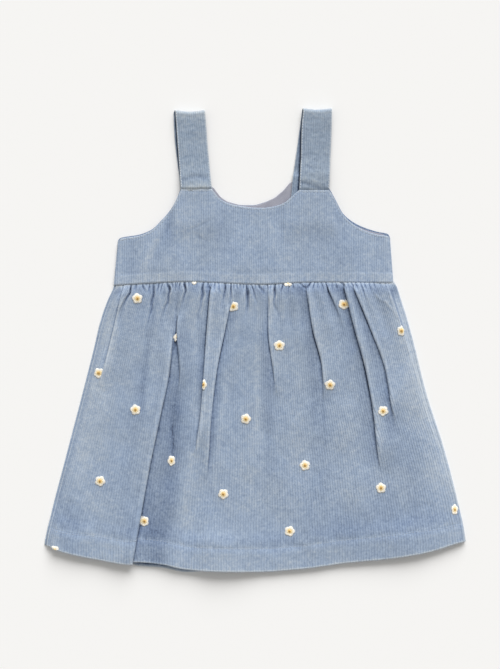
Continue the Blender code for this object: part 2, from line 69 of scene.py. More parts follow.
def curve(at, xs, ys):
    # a cubic through the points, level at each high or low one, its slopes the harmonic mean of both sides'
    step = np.diff(xs)
    rise = np.diff(ys) / step
    slope = np.concatenate([rise[:1], np.zeros(len(xs) - 2), rise[-1:]])
    before, after = rise[:-1], rise[1:]
    same = before * after > 0.0
    slope[1:-1][same] = 2.0 * before[same] * after[same] / (before[same] + after[same])
    i = np.clip(np.searchsorted(xs, at) - 1, 0, len(step) - 1)
    t = np.clip((at - xs[i]) / step[i], 0.0, 1.0)
    start = ys[i] * (1.0 + 2.0 * t) + slope[i] * step[i] * t
    end = ys[i + 1] * (3.0 - 2.0 * t) - slope[i + 1] * step[i] * (1.0 - t)
    return start * (1.0 - t) ** 2 + end * t**2


def crowded(count, spots):
    # places from 0 to 1, closer together by a bell-shaped factor at each spot (place, width, factor)
    fine = np.linspace(0.0, 1.0, 6001)
    density = 1.0 + sum(factor * hump(fine - place, width) for place, width, factor in spots)
    total = np.concatenate([[0.0], np.cumsum((density[1:] + density[:-1]) / 2.0)])
    return np.interp(np.linspace(0.0, total[-1], count), total, fine)


def rumple(x, y, length, seed, stretch=1.0):
    # a gentle unevenness from about -1 to 1: nine plane waves of about one length, in seeded directions
    dice = np.random.default_rng(seed)
    height = np.zeros(np.broadcast(x, y).shape)
    for turn, size, start in dice.uniform((0.0, 0.7, 0.0), (math.pi, 1.5, math.tau), (9, 3)):
        phase = (x * np.cos(turn) + y / stretch * np.sin(turn)) * math.tau / (length * size) + start
        height = height + np.sin(phase)
    return height / 3.5  # nine waves seldom add up to more


def unevenness(x, y, rows):
    # the sum of height times rumple, for rows of height, length, seed and stretch
    return sum(height * rumple(x, y, length, seed, stretch) for height, length, seed, stretch in rows)


def bells(away, rows):
    # the sum of strength times a bell, for rows of place, width and strength
    return sum(strength * hump(away - place, width) for place, width, strength in rows)


def pointsOf(x, y, z):
    # one grid of points from its places across, along and up, each spread over the whole grid
    return np.stack(np.broadcast_arrays(x, y, z), axis=-1)


def columnsOf(rows, *names):
    # one array for each named column of a short table
    return dict(zip(names, np.array(rows, float).T))


def pathDistance(x, y, path):
    # distance from each point to a chain of straight lines, and how far along the chain it is, from 0 to 1
    path = np.array(path, float)
    nearest = np.full(np.broadcast(x, y).shape, 1e9)
    along = np.zeros_like(nearest)
    lengths = np.hypot(*np.diff(path, axis=0).T)
    starts = np.concatenate([[0.0], np.cumsum(lengths)])
    for a, b, length, start in zip(path, path[1:], lengths, starts):
        t = np.clip(((x - a[0]) * (b[0] - a[0]) + (y - a[1]) * (b[1] - a[1])) / length**2, 0.0, 1.0)
        away = np.hypot(x - a[0] - t * (b[0] - a[0]), y - a[1] - t * (b[1] - a[1]))
        along = np.where(away < nearest, (start + t * length) / starts[-1], along)
        nearest = np.minimum(nearest, away)
    return nearest, along


def creaseRelief(x, y, lines):
    # small creases and ridges: a bell across each line, fading in and out along it
    height = np.zeros(np.broadcast(x, y).shape)
    for width, rise, fadeIn, fadeOut, *path in lines:
        away, along = pathDistance(x, y, path)
        fade = ramp(along, -0.01, fadeIn) * (1.0 - ramp(along, fadeOut, 1.01))
        height = height + rise * hump(away, width) * fade
    return height


def bands(x, y, table, past):
    # wide soft bands: a bell across each straight line, and another past its ends
    height = np.zeros(np.broadcast(x, y).shape)
    for xTop, yTop, xEnd, yEnd, halfWidth, rise in table:
        share = np.clip((yTop - y) / (yTop - yEnd), 0.0, 1.0)
        beyond = np.maximum(np.maximum(y - yTop, yEnd - y), 0.0)
        height = height + rise * hump(x - xTop - share * (xEnd - xTop), halfWidth) * hump(beyond, past)
    return height


def smoothed(values, x, width):
    # the mean of each row within width to each side, from its running sum
    steps = (values[:, 1:] + values[:, :-1]) / 2.0 * np.diff(x, axis=1)
    total = np.concatenate([np.zeros((len(values), 1)), np.cumsum(steps, axis=1)], axis=1)
    mean = np.empty_like(values)
    for i in range(len(values)):
        high = np.minimum(x[i] + width, x[i, -1])
        low = np.maximum(x[i] - width, x[i, 0])
        mean[i] = (np.interp(high, x[i], total[i]) - np.interp(low, x[i], total[i])) / (high - low)
    return mean


# how the painted shade of low-lying cloth is measured
besideFold = {
    "near": 3.0,  # how far to each side the cloth beside a place reaches, near by and further off
    "far": 8.0,
    "nearShare": 0.40,
    "farShare": 0.20,
    "range": (-0.5, 1.1),
}


def paintedShadeFromDepth(z, x):
    # painted shade: how far the cloth lies below what is beside it, near by and further off
    near = smoothed(z, x, besideFold["near"]) - z
    far = smoothed(smoothed(z, x, besideFold["far"]), x, besideFold["far"]) - z
    return np.clip(besideFold["nearShare"] * near + besideFold["farShare"] * far, *besideFold["range"])


def normalsOf(points):
    # unit normals of a grid whose rows go down and whose columns go right: down crossed with across
    return unit(np.cross(np.gradient(points, axis=0), np.gradient(points, axis=1)))


# Meshes.

def addMesh(name, points, faces, materials, cornerUv=None, marks=None, faceMaterial=None):
    # a mesh from points in millimetres and arrays of faces, each array with one number of corners
    mesh = bpy.data.meshes.new(name)
    corners = np.concatenate([part.ravel() for part in faces]).astype(np.int32)
    sizes = np.concatenate([np.full(len(part), part.shape[1]) for part in faces])
    starts = np.concatenate([[0], np.cumsum(sizes)[:-1]]).astype(np.int32)
    mesh.vertices.add(len(points))
    mesh.vertices.foreach_set("co", (np.asarray(points) * mm).astype(np.float32).ravel())
    mesh.loops.add(len(corners))
    mesh.loops.foreach_set("vertex_index", corners)
    mesh.polygons.add(len(sizes))
    mesh.polygons.foreach_set("loop_start", starts)
    for material in materials:
        mesh.materials.append(material)
    if faceMaterial is not None:
        mesh.polygons.foreach_set("material_index", np.asarray(faceMaterial, np.int32))
    if cornerUv is not None:
        mesh.uv_layers.new(name="cloth")
        mesh.uv_layers["cloth"].data.foreach_set("uv", (cornerUv * mm).astype(np.float32).ravel())
    for mark, values in (marks or {}).items():
        mesh.attributes.new(mark, "FLOAT", "POINT")
        mesh.attributes[mark].data.foreach_set("value", np.asarray(values, np.float32).ravel())
    mesh.update(calc_edges=True)
    mesh.shade_smooth()
    piece = bpy.data.objects.new(name, mesh)
    bpy.context.scene.collection.objects.link(piece)
    return piece


def finishPiece(piece, slot, *nodes):
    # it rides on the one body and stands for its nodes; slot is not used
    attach(piece, "root")
    if nodes:
        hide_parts(*nodes)
    return piece


def quads(upper, lower):
    # four-sided faces between rows of point numbers, seen from the side that faces out
    corners = [lower[..., :-1], lower[..., 1:], upper[..., 1:], upper[..., :-1]]
    return np.stack(corners, axis=-1).reshape(-1, 4)


def closedWall(outer, inner, step=1, turn=4):
    # Two grids of points, the inner one with every step-th row, joined round their edge by a half circle
    # of turn faces. It gives points, faces, the row and column of each point, and its depth from 0 to 1.
    rows, cols = outer.shape[:2]
    kept = np.arange(0, rows, step)
    inner = inner[kept]
    parts = []

    def number(points, row, col, depth):
        # takes in points and gives their numbers
        first = sum(len(part[0]) for part in parts)
        shape = points.shape[:-1]
        parts.append([points.reshape(-1, 3)] + [np.broadcast_to(v, shape).ravel() for v in (row, col, depth)])
        return first + np.arange(len(parts[-1][0])).reshape(shape)

    allRows, allCols = np.arange(rows), np.arange(cols)
    angles = (np.arange(1, turn) * math.pi / turn)[:, None]

    def strip(edge, back, inward, row, col):
        # the half circle from an outer edge to the inner one, bulging away from the wall's own side
        half = (edge - back) / 2.0
        radius = np.linalg.norm(half, axis=-1, keepdims=True)
        away = edge - inward
        away = unit(away - (away * half).sum(-1, keepdims=True) * half / np.maximum(radius, 1e-9) ** 2)
        bent = np.cos(angles[..., None]) * half + np.sin(angles[..., None]) * radius * away
        return number((edge + back) / 2.0 + bent, row, col, angles / math.pi)

    top = number(outer, allRows[:, None], allCols, 0.0)
    low = number(inner, kept[:, None], allCols, 1.0)
    above = strip(outer[0], inner[0], outer[1], 0, allCols)
    below = strip(outer[-1], inner[-1], outer[-2], rows - 1, allCols)
    left = strip(outer[kept, 0], inner[:, 0], outer[kept, 1], kept, 0)
    right = strip(outer[kept, -1], inner[:, -1], outer[kept, -2], kept, cols - 1)
    faces = [quads(top[:-1], top[1:]), quads(low[:-1], low[1:])[:, ::-1]]
    chains = (
        np.concatenate([low[:1], above[::-1], top[:1]]),
        np.concatenate([top[-1:], below, low[-1:]]),
        np.concatenate([left, low[None, :, 0]]).T[:, ::-1],
        np.concatenate([right, low[None, :, -1]]).T,
    )
    faces += [quads(chain[:-1], chain[1:]) for chain in chains]
    # the outer edge has step rows for each row of the strip beside it
    spans = kept[:-1, None]
    climb = top[spans + np.arange(step, -1, -1), 0]
    drop = top[spans + np.arange(0, step + 1), -1]
    faces.append(np.concatenate([left[0, :-1, None], left[0, 1:, None], climb], axis=1))
    faces.append(np.concatenate([right[0, 1:, None], right[0, :-1, None], drop], axis=1))
    ends = (
        (top[0, 0], above[:, 0], left[:, 0], low[0, 0]),
        (top[0, -1], right[:, 0], above[:, -1], low[0, -1]),
        (top[-1, -1], below[:, -1], right[:, -1], low[-1, -1]),
        (top[-1, 0], left[:, -1], below[:, 0], low[-1, 0]),
    )
    for start, one, other, end in ends:
        faces.append(np.array([[start, one[0], other[0]], [one[-1], end, other[-1]]]))
        faces.append(np.stack([one[:-1], one[1:], other[1:], other[:-1]], axis=-1))
    points, row, col, depth = (np.concatenate(part) for part in zip(*parts))
    return points, faces, row, col, depth


def addCloth(name, outer, thick, material, uv, wearAndPaintedLight, paintedShadeAndFade, step=1, turn=4, insidePaintedShade=0.6):
    # a closed wall of cloth, thick at each point, with its wale map and its marks read from the grid: rubbed
    # wear with painted highlights, and painted shade
    normals = normalsOf(outer)
    inner = outer - thick[..., None] * normals
    facing = 1.0 if normals[..., 2].mean() > 0.0 else -1.0
    low = facing * inner[..., 2]
    for shift in range(1, step):
        # no row of the outer face between two kept rows lies under the straight line between them
        later, earlier = slice(shift, None), slice(None, -shift)
        for near, far in ((later, earlier), (earlier, later)):
            low[near] = np.minimum(low[near], facing * inner[far, :, 2])
    inner[..., 2] = facing * low
    points, faces, row, col, depth = closedWall(outer, inner, step, turn)
    corners = np.concatenate([part.ravel() for part in faces])
    # the rim keeps the outer face's marks, and the inner face takes its own painted shade
    rim = 1.0 - ramp(depth, 0.75, 1.0)
    inside = np.broadcast_to(insidePaintedShade, paintedShadeAndFade.shape)[row, col]
    marks = {"wearAndPaintedLight": wearAndPaintedLight[row, col] * rim, "paintedShadeAndFade": paintedShadeAndFade[row, col] * rim + inside * (1.0 - rim)}
    return addMesh(name, points, faces, [material], uv[row, col][corners], marks)


threadShape = {"sides": 6, "rings": 5}
alongThread = np.linspace(-1.0, 1.0, threadShape["rings"])  # each ring's place along its own thread


def threadTubes(centres, ups, radius):
    # Threads as tubes: centres and ups hold a ring's middle and its upright for each thread and ring, and a
    # ring's points are middle + radius x (cos a x side + sin a x up).
    along = unit(np.gradient(centres, axis=1))
    side = unit(np.cross(along, ups))[:, :, None]
    up = np.cross(side, along[:, :, None])
    turn = (np.arange(threadShape["sides"]) * math.tau / threadShape["sides"])[:, None]
    points = centres[:, :, None] + radius[..., None, None] * (np.cos(turn) * side + np.sin(turn) * up)
    number = np.arange(points[..., 0].size).reshape(points.shape[:3])
    following = np.roll(number, -1, axis=2)
    sides = np.stack([number[:, :-1], number[:, 1:], following[:, 1:], following[:, :-1]], axis=-1)
    return points.reshape(-1, 3), [sides.reshape(-1, 4), number[:, 0], number[:, -1, ::-1]]


def surfaceUps(surface, x, y, facing):
    # the upright of a surface at plan places, from points a little way off each way
    step = 0.4
    across = surface(x + step, y) - surface(x - step, y)
    down = surface(x, y - step) - surface(x, y + step)
    return facing * unit(np.cross(down, across))


def stitchTubes(surface, path, facing=1.0, pitch=3.1, length=2.3, radius=0.17, lift=0.12):
    # Stitches along a path in plan: each arches by lift x (1 - 1.6 x square of its own place, -1 to 1), so
    # its ends dip into the cloth.
    path = np.array(path, float)
    total = np.concatenate([[0.0], np.cumsum(np.hypot(*np.diff(path, axis=0).T))])
    count = max(int(total[-1] / pitch), 1)
    at = (np.arange(count)[:, None] + 0.5) * total[-1] / count + alongThread * length / 2.0
    x, y = (np.interp(at, total, path[:, i]) for i in (0, 1))
    ups = surfaceUps(surface, x, y, facing)
    centres = surface(x, y) + (lift * (1.0 - 1.6 * alongThread**2) + 0.3 * radius)[:, None] * ups
    return threadTubes(centres, ups, radius * (1.0 - 0.25 * alongThread**2) * np.ones_like(x))


def joinTubes(tubes):
    # one set of points and faces from several
    starts = np.concatenate([[0], np.cumsum([len(points) for points, faces in tubes])])
    faces = [np.concatenate([tube[1][k] + start for tube, start in zip(tubes, starts)]) for k in range(3)]
    return np.concatenate([tube[0] for tube in tubes]), faces


# The studio: a pale floor, soft light from beyond the straps and a camera straight above.

studio = {
    "cameraAt": (-4.85, 4.85, 1803.0),
    "lens": 100.0,
    "sensor": 36.0,
    "floorHalf": 2500.0,
    "floorLevel": -0.05,  # just clear of the cloth that lies on it
    "floorColour": (0.915, 0.912, 0.912, 1.0),
    "sunFrom": (0.16, 0.84, 0.54),  # towards the light
    "sunSpread": 44.0,  # degrees, and more is softer
    "sunPower": 3.45,
    "sunColour": (1.0, 1.0, 0.995),
    "skyPower": 0.42,
    "skyColour": (1.0, 0.985, 0.945, 1.0),
}


def buildStudio():
    # the camera looks straight down from above the photo's middle, and one wide sun lights from +Y
    scene = bpy.context.scene
    view = bpy.data.cameras.new("camera")
    view.lens = studio["lens"]
    view.sensor_fit = "VERTICAL"
    view.sensor_height = studio["sensor"]
    camera = bpy.data.objects.new("camera", view)
    camera.location = [value * mm for value in studio["cameraAt"]]
    scene.collection.objects.link(camera)
    scene.camera = camera
    scene.view_settings.view_transform = "Standard"

    sun = bpy.data.lights.new("window light", "SUN")
    sun.energy = studio["sunPower"]
    sun.color = studio["sunColour"]
    sun.angle = math.radians(studio["sunSpread"])
    lamp = bpy.data.objects.new("window light", sun)
    direction = unit(np.array(studio["sunFrom"]))
    lamp.rotation_euler = (math.acos(direction[2]), 0.0, math.atan2(direction[0], -direction[1]))
    scene.collection.objects.link(lamp)

    scene.world = bpy.data.worlds.new("white room")
    scene.world.use_nodes = True
    sky = scene.world.node_tree.nodes["Background"]
    sky.inputs["Color"].default_value = studio["skyColour"]
    sky.inputs["Strength"].default_value = studio["skyPower"]

    paper = bpy.data.materials.new("white paper")
    paper.use_nodes = True
    shader = paper.node_tree.nodes["Principled BSDF"]
    shader.inputs["Base Color"].default_value = studio["floorColour"]
    shader.inputs["Roughness"].default_value = 0.9
    shader.inputs["Specular IOR Level"].default_value = 0.1
    half, low = studio["floorHalf"], studio["floorLevel"]
    corners = np.array([(-half, -half, low), (half, -half, low), (half, half, low), (-half, half, low)])
    floor = addMesh("floor", corners, [np.array([[0, 1, 2, 3]])], [paper])


buildStudio()
print("studio ready")


# Finishes.

def newTree(name):
    # a new material with its node tree and its shader
    material = bpy.data.materials.new(name)
    material.use_nodes = True
    return material, material.node_tree, material.node_tree.nodes["Principled BSDF"]


def addNode(tree, kind, inputs, output=0, **settings):
    # a node with its inputs set or linked; it gives one of its outputs
    made = tree.nodes.new("ShaderNode" + kind)
    for key, value in settings.items():
        setattr(made, key, value)
    for key, value in inputs.items():
        if isinstance(value, bpy.types.NodeSocket):
            tree.links.new(value, made.inputs[key])
        else:
            made.inputs[key].default_value = value
    return made.outputs[output]


def maths(tree, operation, *values):
    # one operation on sockets or numbers
    return addNode(tree, "Math", dict(enumerate(values)), operation=operation)


def clothPlace(tree):
    # u across the wales and v along them, in metres
    place = addNode(tree, "UVMap", {}, uv_map="cloth")
    return [addNode(tree, "SeparateXYZ", {0: place}, output=axis) for axis in ("X", "Y")]


def colourRamp(tree, value, stops):
    # colours along a value, blended evenly from each stop to the next
    made = tree.nodes.new("ShaderNodeValToRGB")
    elements = made.color_ramp.elements
    for _ in stops[2:]:
        elements.new(0.5)
    for element, (place, colour) in zip(elements, stops):
        element.position = place
        element.color = (*colour, 1.0)
    tree.links.new(value, made.inputs["Fac"])
    return made.outputs["Color"]


def noise(tree, where, scale, detail=2.0, roughness=0.5):
    # cloudy noise from 0 to 1 with scale spots to a metre
    inputs = {"Vector": where, "Scale": scale, "Detail": detail, "Roughness": roughness}
    return addNode(tree, "TexNoise", inputs)


def finishShader(tree, shader, colour, height, strength, relief, values):
    # the colour and the relief, and the numbers that are the same all over
    tree.links.new(colour, shader.inputs["Base Color"])
    bump = addNode(tree, "Bump", {"Height": height, "Strength": strength, "Distance": relief * mm})
    tree.links.new(bump, shader.inputs["Normal"])
    for key, value in values.items():
        shader.inputs[key].default_value = value


corduroy = {
    "pitch": 2.1,  # from wale to wale
    "groove": 0.26,  # share of a wale that its groove takes
    "wander": 4.5,  # how far the wales stray, as an angle of their wave
    "relief": 0.35,
    "fibreScale": (1100.0, 480.0),  # across the wales and along them
    "streakScale": (420.0, 45.0),
    # the ramp's black end is reached mostly under deep painted shade
    "black": (0.030, 0.045, 0.085),
    "dark": (0.165, 0.220, 0.330),
    "middle": (0.325, 0.400, 0.515),
    "pale": (0.540, 0.595, 0.655),
    "shadeAt": (0.30, 0.65),  # places of dark and middle between black and pale
    "cool": (0.985, 1.0, 1.02, 1.0),  # the dye's tint goes from one to the other in soft clouds
    "warm": (1.015, 1.0, 0.975, 1.0),
    "waleShade": 0.054,
    "streakShade": 0.14,
    "fibreShade": 0.58,
    "speckShade": 0.98,
    "cloudShade": 0.16,
    "wearAndPaintedLightStrength": 0.50,
    "paintedShadeStrength": 0.30,
    "surface": {"Roughness": 0.92, "Specular IOR Level": 0.25, "Sheen Weight": 0.22, "Sheen Roughness": 0.45,
                "Sheen Tint": (1.0, 0.98, 0.96, 1.0)},
}


def corduroyMaterial(name, tint=(1.0, 1.0, 1.0)):
    # Wales across the map's u, fibres and streaks drawn out along v, and soft clouds of fading. The marks
    # that the meshes carry pale the rubbed edges and lay painted highlights and painted sheen. They lay
    # painted shade in folds, recesses, seams and under edges, with painted light where that shade is
    # negative.
    material, tree, shader = newTree(name)
    u, v = clothPlace(tree)
    where = addNode(tree, "TexCoord", {}, output="Object")
    turn = maths(tree, "MULTIPLY", u, math.tau / (corduroy["pitch"] * mm))
    turn = maths(tree, "MULTIPLY_ADD", noise(tree, where, 60.0), corduroy["wander"], turn)
    wave = maths(tree, "MULTIPLY_ADD", maths(tree, "SINE", turn), 0.5, 0.5)
    wale = addNode(tree, "MapRange", {"Value": wave, "From Max": 2.0 * corduroy["groove"]},
                   interpolation_type="SMOOTHSTEP")
    rubbed = noise(tree, where, 75.0, 3.0, 0.6)
    kept = addNode(tree, "MapRange", {"Value": rubbed, "From Min": 0.38, "From Max": 0.58, "To Min": 0.35})
    shown = maths(tree, "MULTIPLY", maths(tree, "SUBTRACT", wale, 0.75), kept)

    def drawnNoise(acrossScale, alongScale):
        # noise with its own scale across the wales and along them
        spot = addNode(tree, "CombineXYZ", {"X": maths(tree, "MULTIPLY", u, acrossScale),
                                            "Y": maths(tree, "MULTIPLY", v, alongScale)})
        return noise(tree, spot, 1.0, 2.0, 0.6)

    fibre = drawnNoise(*corduroy["fibreScale"])
    layers = (
        (shown, corduroy["waleShade"], 0.0),
        (drawnNoise(*corduroy["streakScale"]), corduroy["streakShade"], 0.5),
        (fibre, corduroy["fibreShade"], 0.5),
        (noise(tree, where, 300.0, 3.0, 0.75), corduroy["speckShade"], 0.5),
        (noise(tree, where, 42.0, 3.0, 0.65), corduroy["cloudShade"], 0.5),
        # rubbed wear with painted highlights and sheen pales, and painted shade darkens
        (addNode(tree, "Attribute", {}, "Fac", attribute_name="wearAndPaintedLight"), corduroy["wearAndPaintedLightStrength"], 0.0),
        (addNode(tree, "Attribute", {}, "Fac", attribute_name="paintedShadeAndFade"), -corduroy["paintedShadeStrength"], 0.0),
    )
    shade = 0.5
    for value, strength, centre in layers:
        part = maths(tree, "MULTIPLY_ADD", value, strength, -centre * strength)
        shade = maths(tree, "ADD", part, shade)
    # half a shade is the middle tone, and a whole one is the pale end of the ramp
    places = (0.0, *corduroy["shadeAt"], 1.0)
    slope = 2.0 * (1.0 - places[2])
    shade = maths(tree, "MULTIPLY_ADD", shade, slope, places[2] - 0.5 * slope)
    tones = [[a * b for a, b in zip(corduroy[key], tint)] for key in ("black", "dark", "middle", "pale")]
    colour = colourRamp(tree, shade, list(zip(places, tones)))
    dye = noise(tree, where, 26.0, 3.0, 0.6)
    patch = addNode(tree, "MapRange", {"Value": dye, "From Min": 0.36, "From Max": 0.64})
    tinge = addNode(tree, "MixRGB", {"Fac": patch, "Color1": corduroy["cool"], "Color2": corduroy["warm"]})
    colour = addNode(tree, "MixRGB", {"Fac": 1.0, "Color1": colour, "Color2": tinge}, blend_type="MULTIPLY")
    height = maths(tree, "MULTIPLY_ADD", fibre, 0.5, wale)
    finishShader(tree, shader, colour, height, 0.9, corduroy["relief"], corduroy["surface"])
    return material


liningCotton = {
    "pitch": 0.55,  # from thread to thread
    "relief": 0.08,
    "weaveShade": 0.07,
    "dark": (0.300, 0.305, 0.375),
    "light": (0.400, 0.405, 0.470),
    "surface": {"Roughness": 0.85, "Sheen Weight": 0.1},
}


def liningMaterial():
    # a plain weave: warp and weft waves multiplied, over soft clouds
    material, tree, shader = newTree("lining cotton")
    turn = math.tau / (liningCotton["pitch"] * mm)
    threads = [maths(tree, "SINE", maths(tree, "MULTIPLY", place, turn)) for place in clothPlace(tree)]
    weave = maths(tree, "MULTIPLY", *threads)
    cloud = noise(tree, addNode(tree, "TexCoord", {}, output="Object"), 70.0, 5.0, 0.65)
    shade = maths(tree, "MULTIPLY_ADD", weave, liningCotton["weaveShade"], cloud)
    colour = colourRamp(tree, shade, ((0.3, liningCotton["dark"]), (0.7, liningCotton["light"])))
    finishShader(tree, shader, colour, weave, 0.5, liningCotton["relief"], liningCotton["surface"])
    return material


def threadMaterial(name, dark, light):
    # spun thread, its colour wandering from place to place
    material, tree, shader = newTree(name)
    cloud = noise(tree, addNode(tree, "TexCoord", {}, output="Object"), 900.0)
    colour = colourRamp(tree, cloud, ((0.3, dark), (0.7, light)))
    finishShader(tree, shader, colour, cloud, 0.4, 0.05, {"Roughness": 0.6, "Sheen Weight": 0.2})
    return material


skirtCloth = corduroyMaterial("skirt corduroy", tint=(0.995, 1.01, 1.04))
bodiceCloth = corduroyMaterial("bodice corduroy", tint=(1.005, 1.025, 1.065))
strapCloth = corduroyMaterial("strap corduroy", tint=(0.96, 0.96, 0.945))
liningCloth = liningMaterial()
stitchThread = threadMaterial("stitching thread", (0.42, 0.48, 0.57), (0.52, 0.58, 0.66))
paleThread = threadMaterial("pale stitching thread", (0.64, 0.69, 0.75), (0.74, 0.78, 0.83))
petalThread = threadMaterial("cream thread", (0.90, 0.85, 0.76), (0.98, 0.95, 0.88))
haloThread = threadMaterial("pale gold thread", (0.88, 0.71, 0.38), (0.96, 0.83, 0.56))
goldThread = threadMaterial("golden thread", (0.74, 0.46, 0.14), (0.86, 0.60, 0.24))
eyeThread = threadMaterial("brown thread", (0.30, 0.16, 0.04), (0.44, 0.26, 0.08))
print("finishes ready")


# The heights of the layers, from the frame.

def topOf(node):
    # the top of a node's box, in millimetres
    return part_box(node)[1].z / mm


gap = 0.3
corduroyThick = 1.2
strapThick = 2.2
backTop = topOf("bodice_back")
liningTop = topOf("lining_back")
hemWall = topOf("skirt_back")
frontLow = liningTop + gap
skirtLow = backTop + gap
hemLow = hemWall + gap
liftedLow = frontLow + strapThick + gap


# The skirt's plan: its sides, its waist, its hem and the large folds that its columns follow.

skirt = {
    "sides": columnsOf((
        (56.5, -136.0, 133.5), (53.8, -136.0, 135.6), (38.3, -142.2, 140.9), (18.9, -149.0, 147.2),
        (-10.2, -156.0, 154.9), (-49.0, -165.8, 164.4), (-107.2, -181.0, 182.9), (-165.4, -196.2, 197.7),
        (-197.0, -203.4, 203.6),
    ), "y", "left", "right"),
    "waist": columnsOf((
        (-136.4, 52.6), (-63.1, 56.1), (4.9, 53.6), (58.2, 55.7), (133.6, 55.0),
    ), "x", "y"),
    "hem": columnsOf((
        (-204.0, -198.9, -198.3), (-185.3, -205.6, -205.0), (-154.6, -212.0, -211.4),
        (-117.9, -217.2, -217.6), (-115.5, -214.7, -218.4), (-91.6, -216.6, -220.2),
        (-65.6, -221.9, -224.6), (-39.6, -223.4, -223.4), (3.9, -224.1, -223.5), (43.7, -221.5, -220.9),
        (90.2, -215.4, -214.8), (133.9, -211.0, -210.4), (168.4, -205.2, -204.6), (204.0, -195.0, -194.4),
    ), "x", "front", "back"),
    "hemDepth": 22.7,
    "hemDepthAtSides": 18.2,
    "hemNarrowsFrom": 150.0,
    "waleWidth": 328.0,
}

# top is where each fold begins and start how far down it takes to rise. side is 1 where the cloth to the
# right lies on top and -1 where the cloth to the left does. shade and shadeReach are the painted shade of the
# recess beside the fold. The painted shade line under its edge is darkest at one y and has the least share of
# that far away, and the last six are x at the fold levels.
foldLevels = np.array((-215.0, -125.0, -75.0, -30.0, 10.0, 50.0))
foldNames = ("top", "start", "end", "side", "height", "reach", "shade", "shadeReach", "darkest", "least",
             "hem", "low", "midLow", "mid", "high", "waist")
folds = columnsOf((
    (52.0, 9.0, -52.0, 1, 2.2, 12.0, 0.35, 9.0, 20.0, 0.35, -192.0, -175.0, -162.0, -148.0, -137.6, -128.6),
    (20.0, 50.0, -240.0, -1, 4.6, 36.0, 0.50, 21.0, 80.0, 0.38, -118.2, -102.3, -91.9, -82.8, -79.0, -78.5),
    (24.0, 8.0, -58.0, 1, 2.6, 14.0, 0.25, 6.0, 20.0, 0.15, -92.0, -80.5, -79.5, -73.4, -76.1, -71.1),
    (54.0, 9.0, -118.0, 1, 3.9, 17.0, 0.75, 8.0, 20.0, 0.35, -72.0, -62.0, -53.0, -49.4, -46.5, -43.0),
    (34.0, 9.0, -142.0, -1, 2.4, 12.0, 0.90, 4.5, -10.0, 0.40, -50.0, -45.0, -41.8, -36.4, -28.3, -20.0),
    (55.0, 9.0, -62.0, 1, 2.2, 10.0, 0.60, 9.0, 2.0, 0.20, 24.0, 22.0, 21.0, 17.0, 12.2, 12.2),
    (55.0, 9.0, -64.0, 1, 3.2, 15.0, 0.60, 13.0, -2.0, 0.05, 76.0, 70.0, 66.2, 64.9, 55.6, 49.2),
    (55.0, 9.0, 10.0, 1, 1.7, 6.0, 0.30, 6.0, 48.0, 0.30, 102.0, 96.0, 92.0, 88.0, 84.0, 70.0),
    (56.0, 9.0, -131.0, 1, 4.1, 16.0, 0.60, 12.0, -33.0, 0.45, 130.0, 119.9, 115.0, 107.2, 96.4, 86.2),
    (55.0, 9.0, -90.0, 1, 3.6, 18.0, 0.50, 10.0, 24.0, 0.20, 160.0, 146.0, 133.4, 126.0, 111.5, 95.0),
    (54.0, 9.0, -14.0, -1, 1.6, 7.0, 0.20, 6.0, 30.0, 0.30, 199.0, 183.0, 167.0, 154.0, 143.2, 130.4),
), *foldNames)
foldByLevel = np.stack([folds[name] for name in foldNames[-6:]], axis=1)
foldShape = {
    "edge": 1.4,  # half the width of the step
    "fade": 34.0,
    "spread": 1.4,  # how much higher up the rise begins, for each millimetre away from the edge
    "power": 1.6,
    "under": 0.28,  # height of the hidden cloth, as a share of the rise
    "leanMost": 3.4,  # how far the top cloth reaches over, and the cloth below is tucked in
    "leanShare": 0.80,
    "leanAside": 0.6,
    # contact and the three settings after it give the painted shade under the top cloth's edge
    "contact": (0.5, 0.55),  # darkness under the edge, and more for each millimetre of height
    "contactWidth": 1.0,
    "contactReach": 30.0,
    "contactMost": 1.15,
}


def foldPlaces(y):
    # x of each fold's edge at each y: the curve through its places at the fold levels
    return [curve(y, foldLevels, xs) for xs in foldByLevel]


def skirtSides(y):
    # x of the left and right side at each y
    rising = skirt["sides"]["y"][::-1]
    return [curve(y, rising, skirt["sides"][side][::-1]) for side in ("left", "right")]


def foldShares(y):
    # each fold's place at each y as a share of the skirt's width there, with both sides
    left, right = skirtSides(y)
    inner = [(x - left) / (right - left) for x in foldPlaces(y)]
    return np.stack([np.zeros_like(left), *inner, np.ones_like(left)])


homeShares = foldShares(foldLevels).mean(axis=1)


def waistHeight(x):
    # y of the waist seam at each x
    return curve(x, skirt["waist"]["x"], skirt["waist"]["y"])


def hemHeight(x, which):
    # y of the hem's lower edge at each x, for the front or the back
    return curve(x, skirt["hem"]["x"], skirt["hem"][which])


def hemDepth(x):
    # how deep the hem is turned up: a little less towards the sides
    atSide = ramp(np.abs(x), skirt["hemNarrowsFrom"], skirt["hem"]["x"][-1])
    return skirt["hemDepth"] + (skirt["hemDepthAtSides"] - skirt["hemDepth"]) * atSide


def picked(known, before):
    # what is known at the fold before each place, and at the one after it
    return [np.take_along_axis(known, before[None] + k, axis=0)[0] for k in (0, 1)]


def skirtPlace(share, y):
    # x of a column at each y, straight between the folds beside it
    share, y = np.broadcast_arrays(share, y)
    left, right = skirtSides(y)
    before = np.clip(np.searchsorted(homeShares, share, side="right") - 1, 0, len(homeShares) - 2)
    low, high = picked(foldShares(y), before)
    width = homeShares[before + 1] - homeShares[before]
    part = (share - homeShares[before]) / width
    return left + (right - left) * (low + (high - low) * part)


def shareAt(x, y):
    # the column that passes through a place, the other way round
    left, right = skirtSides(y)
    at = (x - left) / (right - left)
    known = foldShares(y)
    before = np.clip((known <= at).sum(axis=0) - 1, 0, len(homeShares) - 2)
    low, high = picked(known, before)
    return homeShares[before] + (homeShares[before + 1] - homeShares[before]) * (at - low) / (high - low)


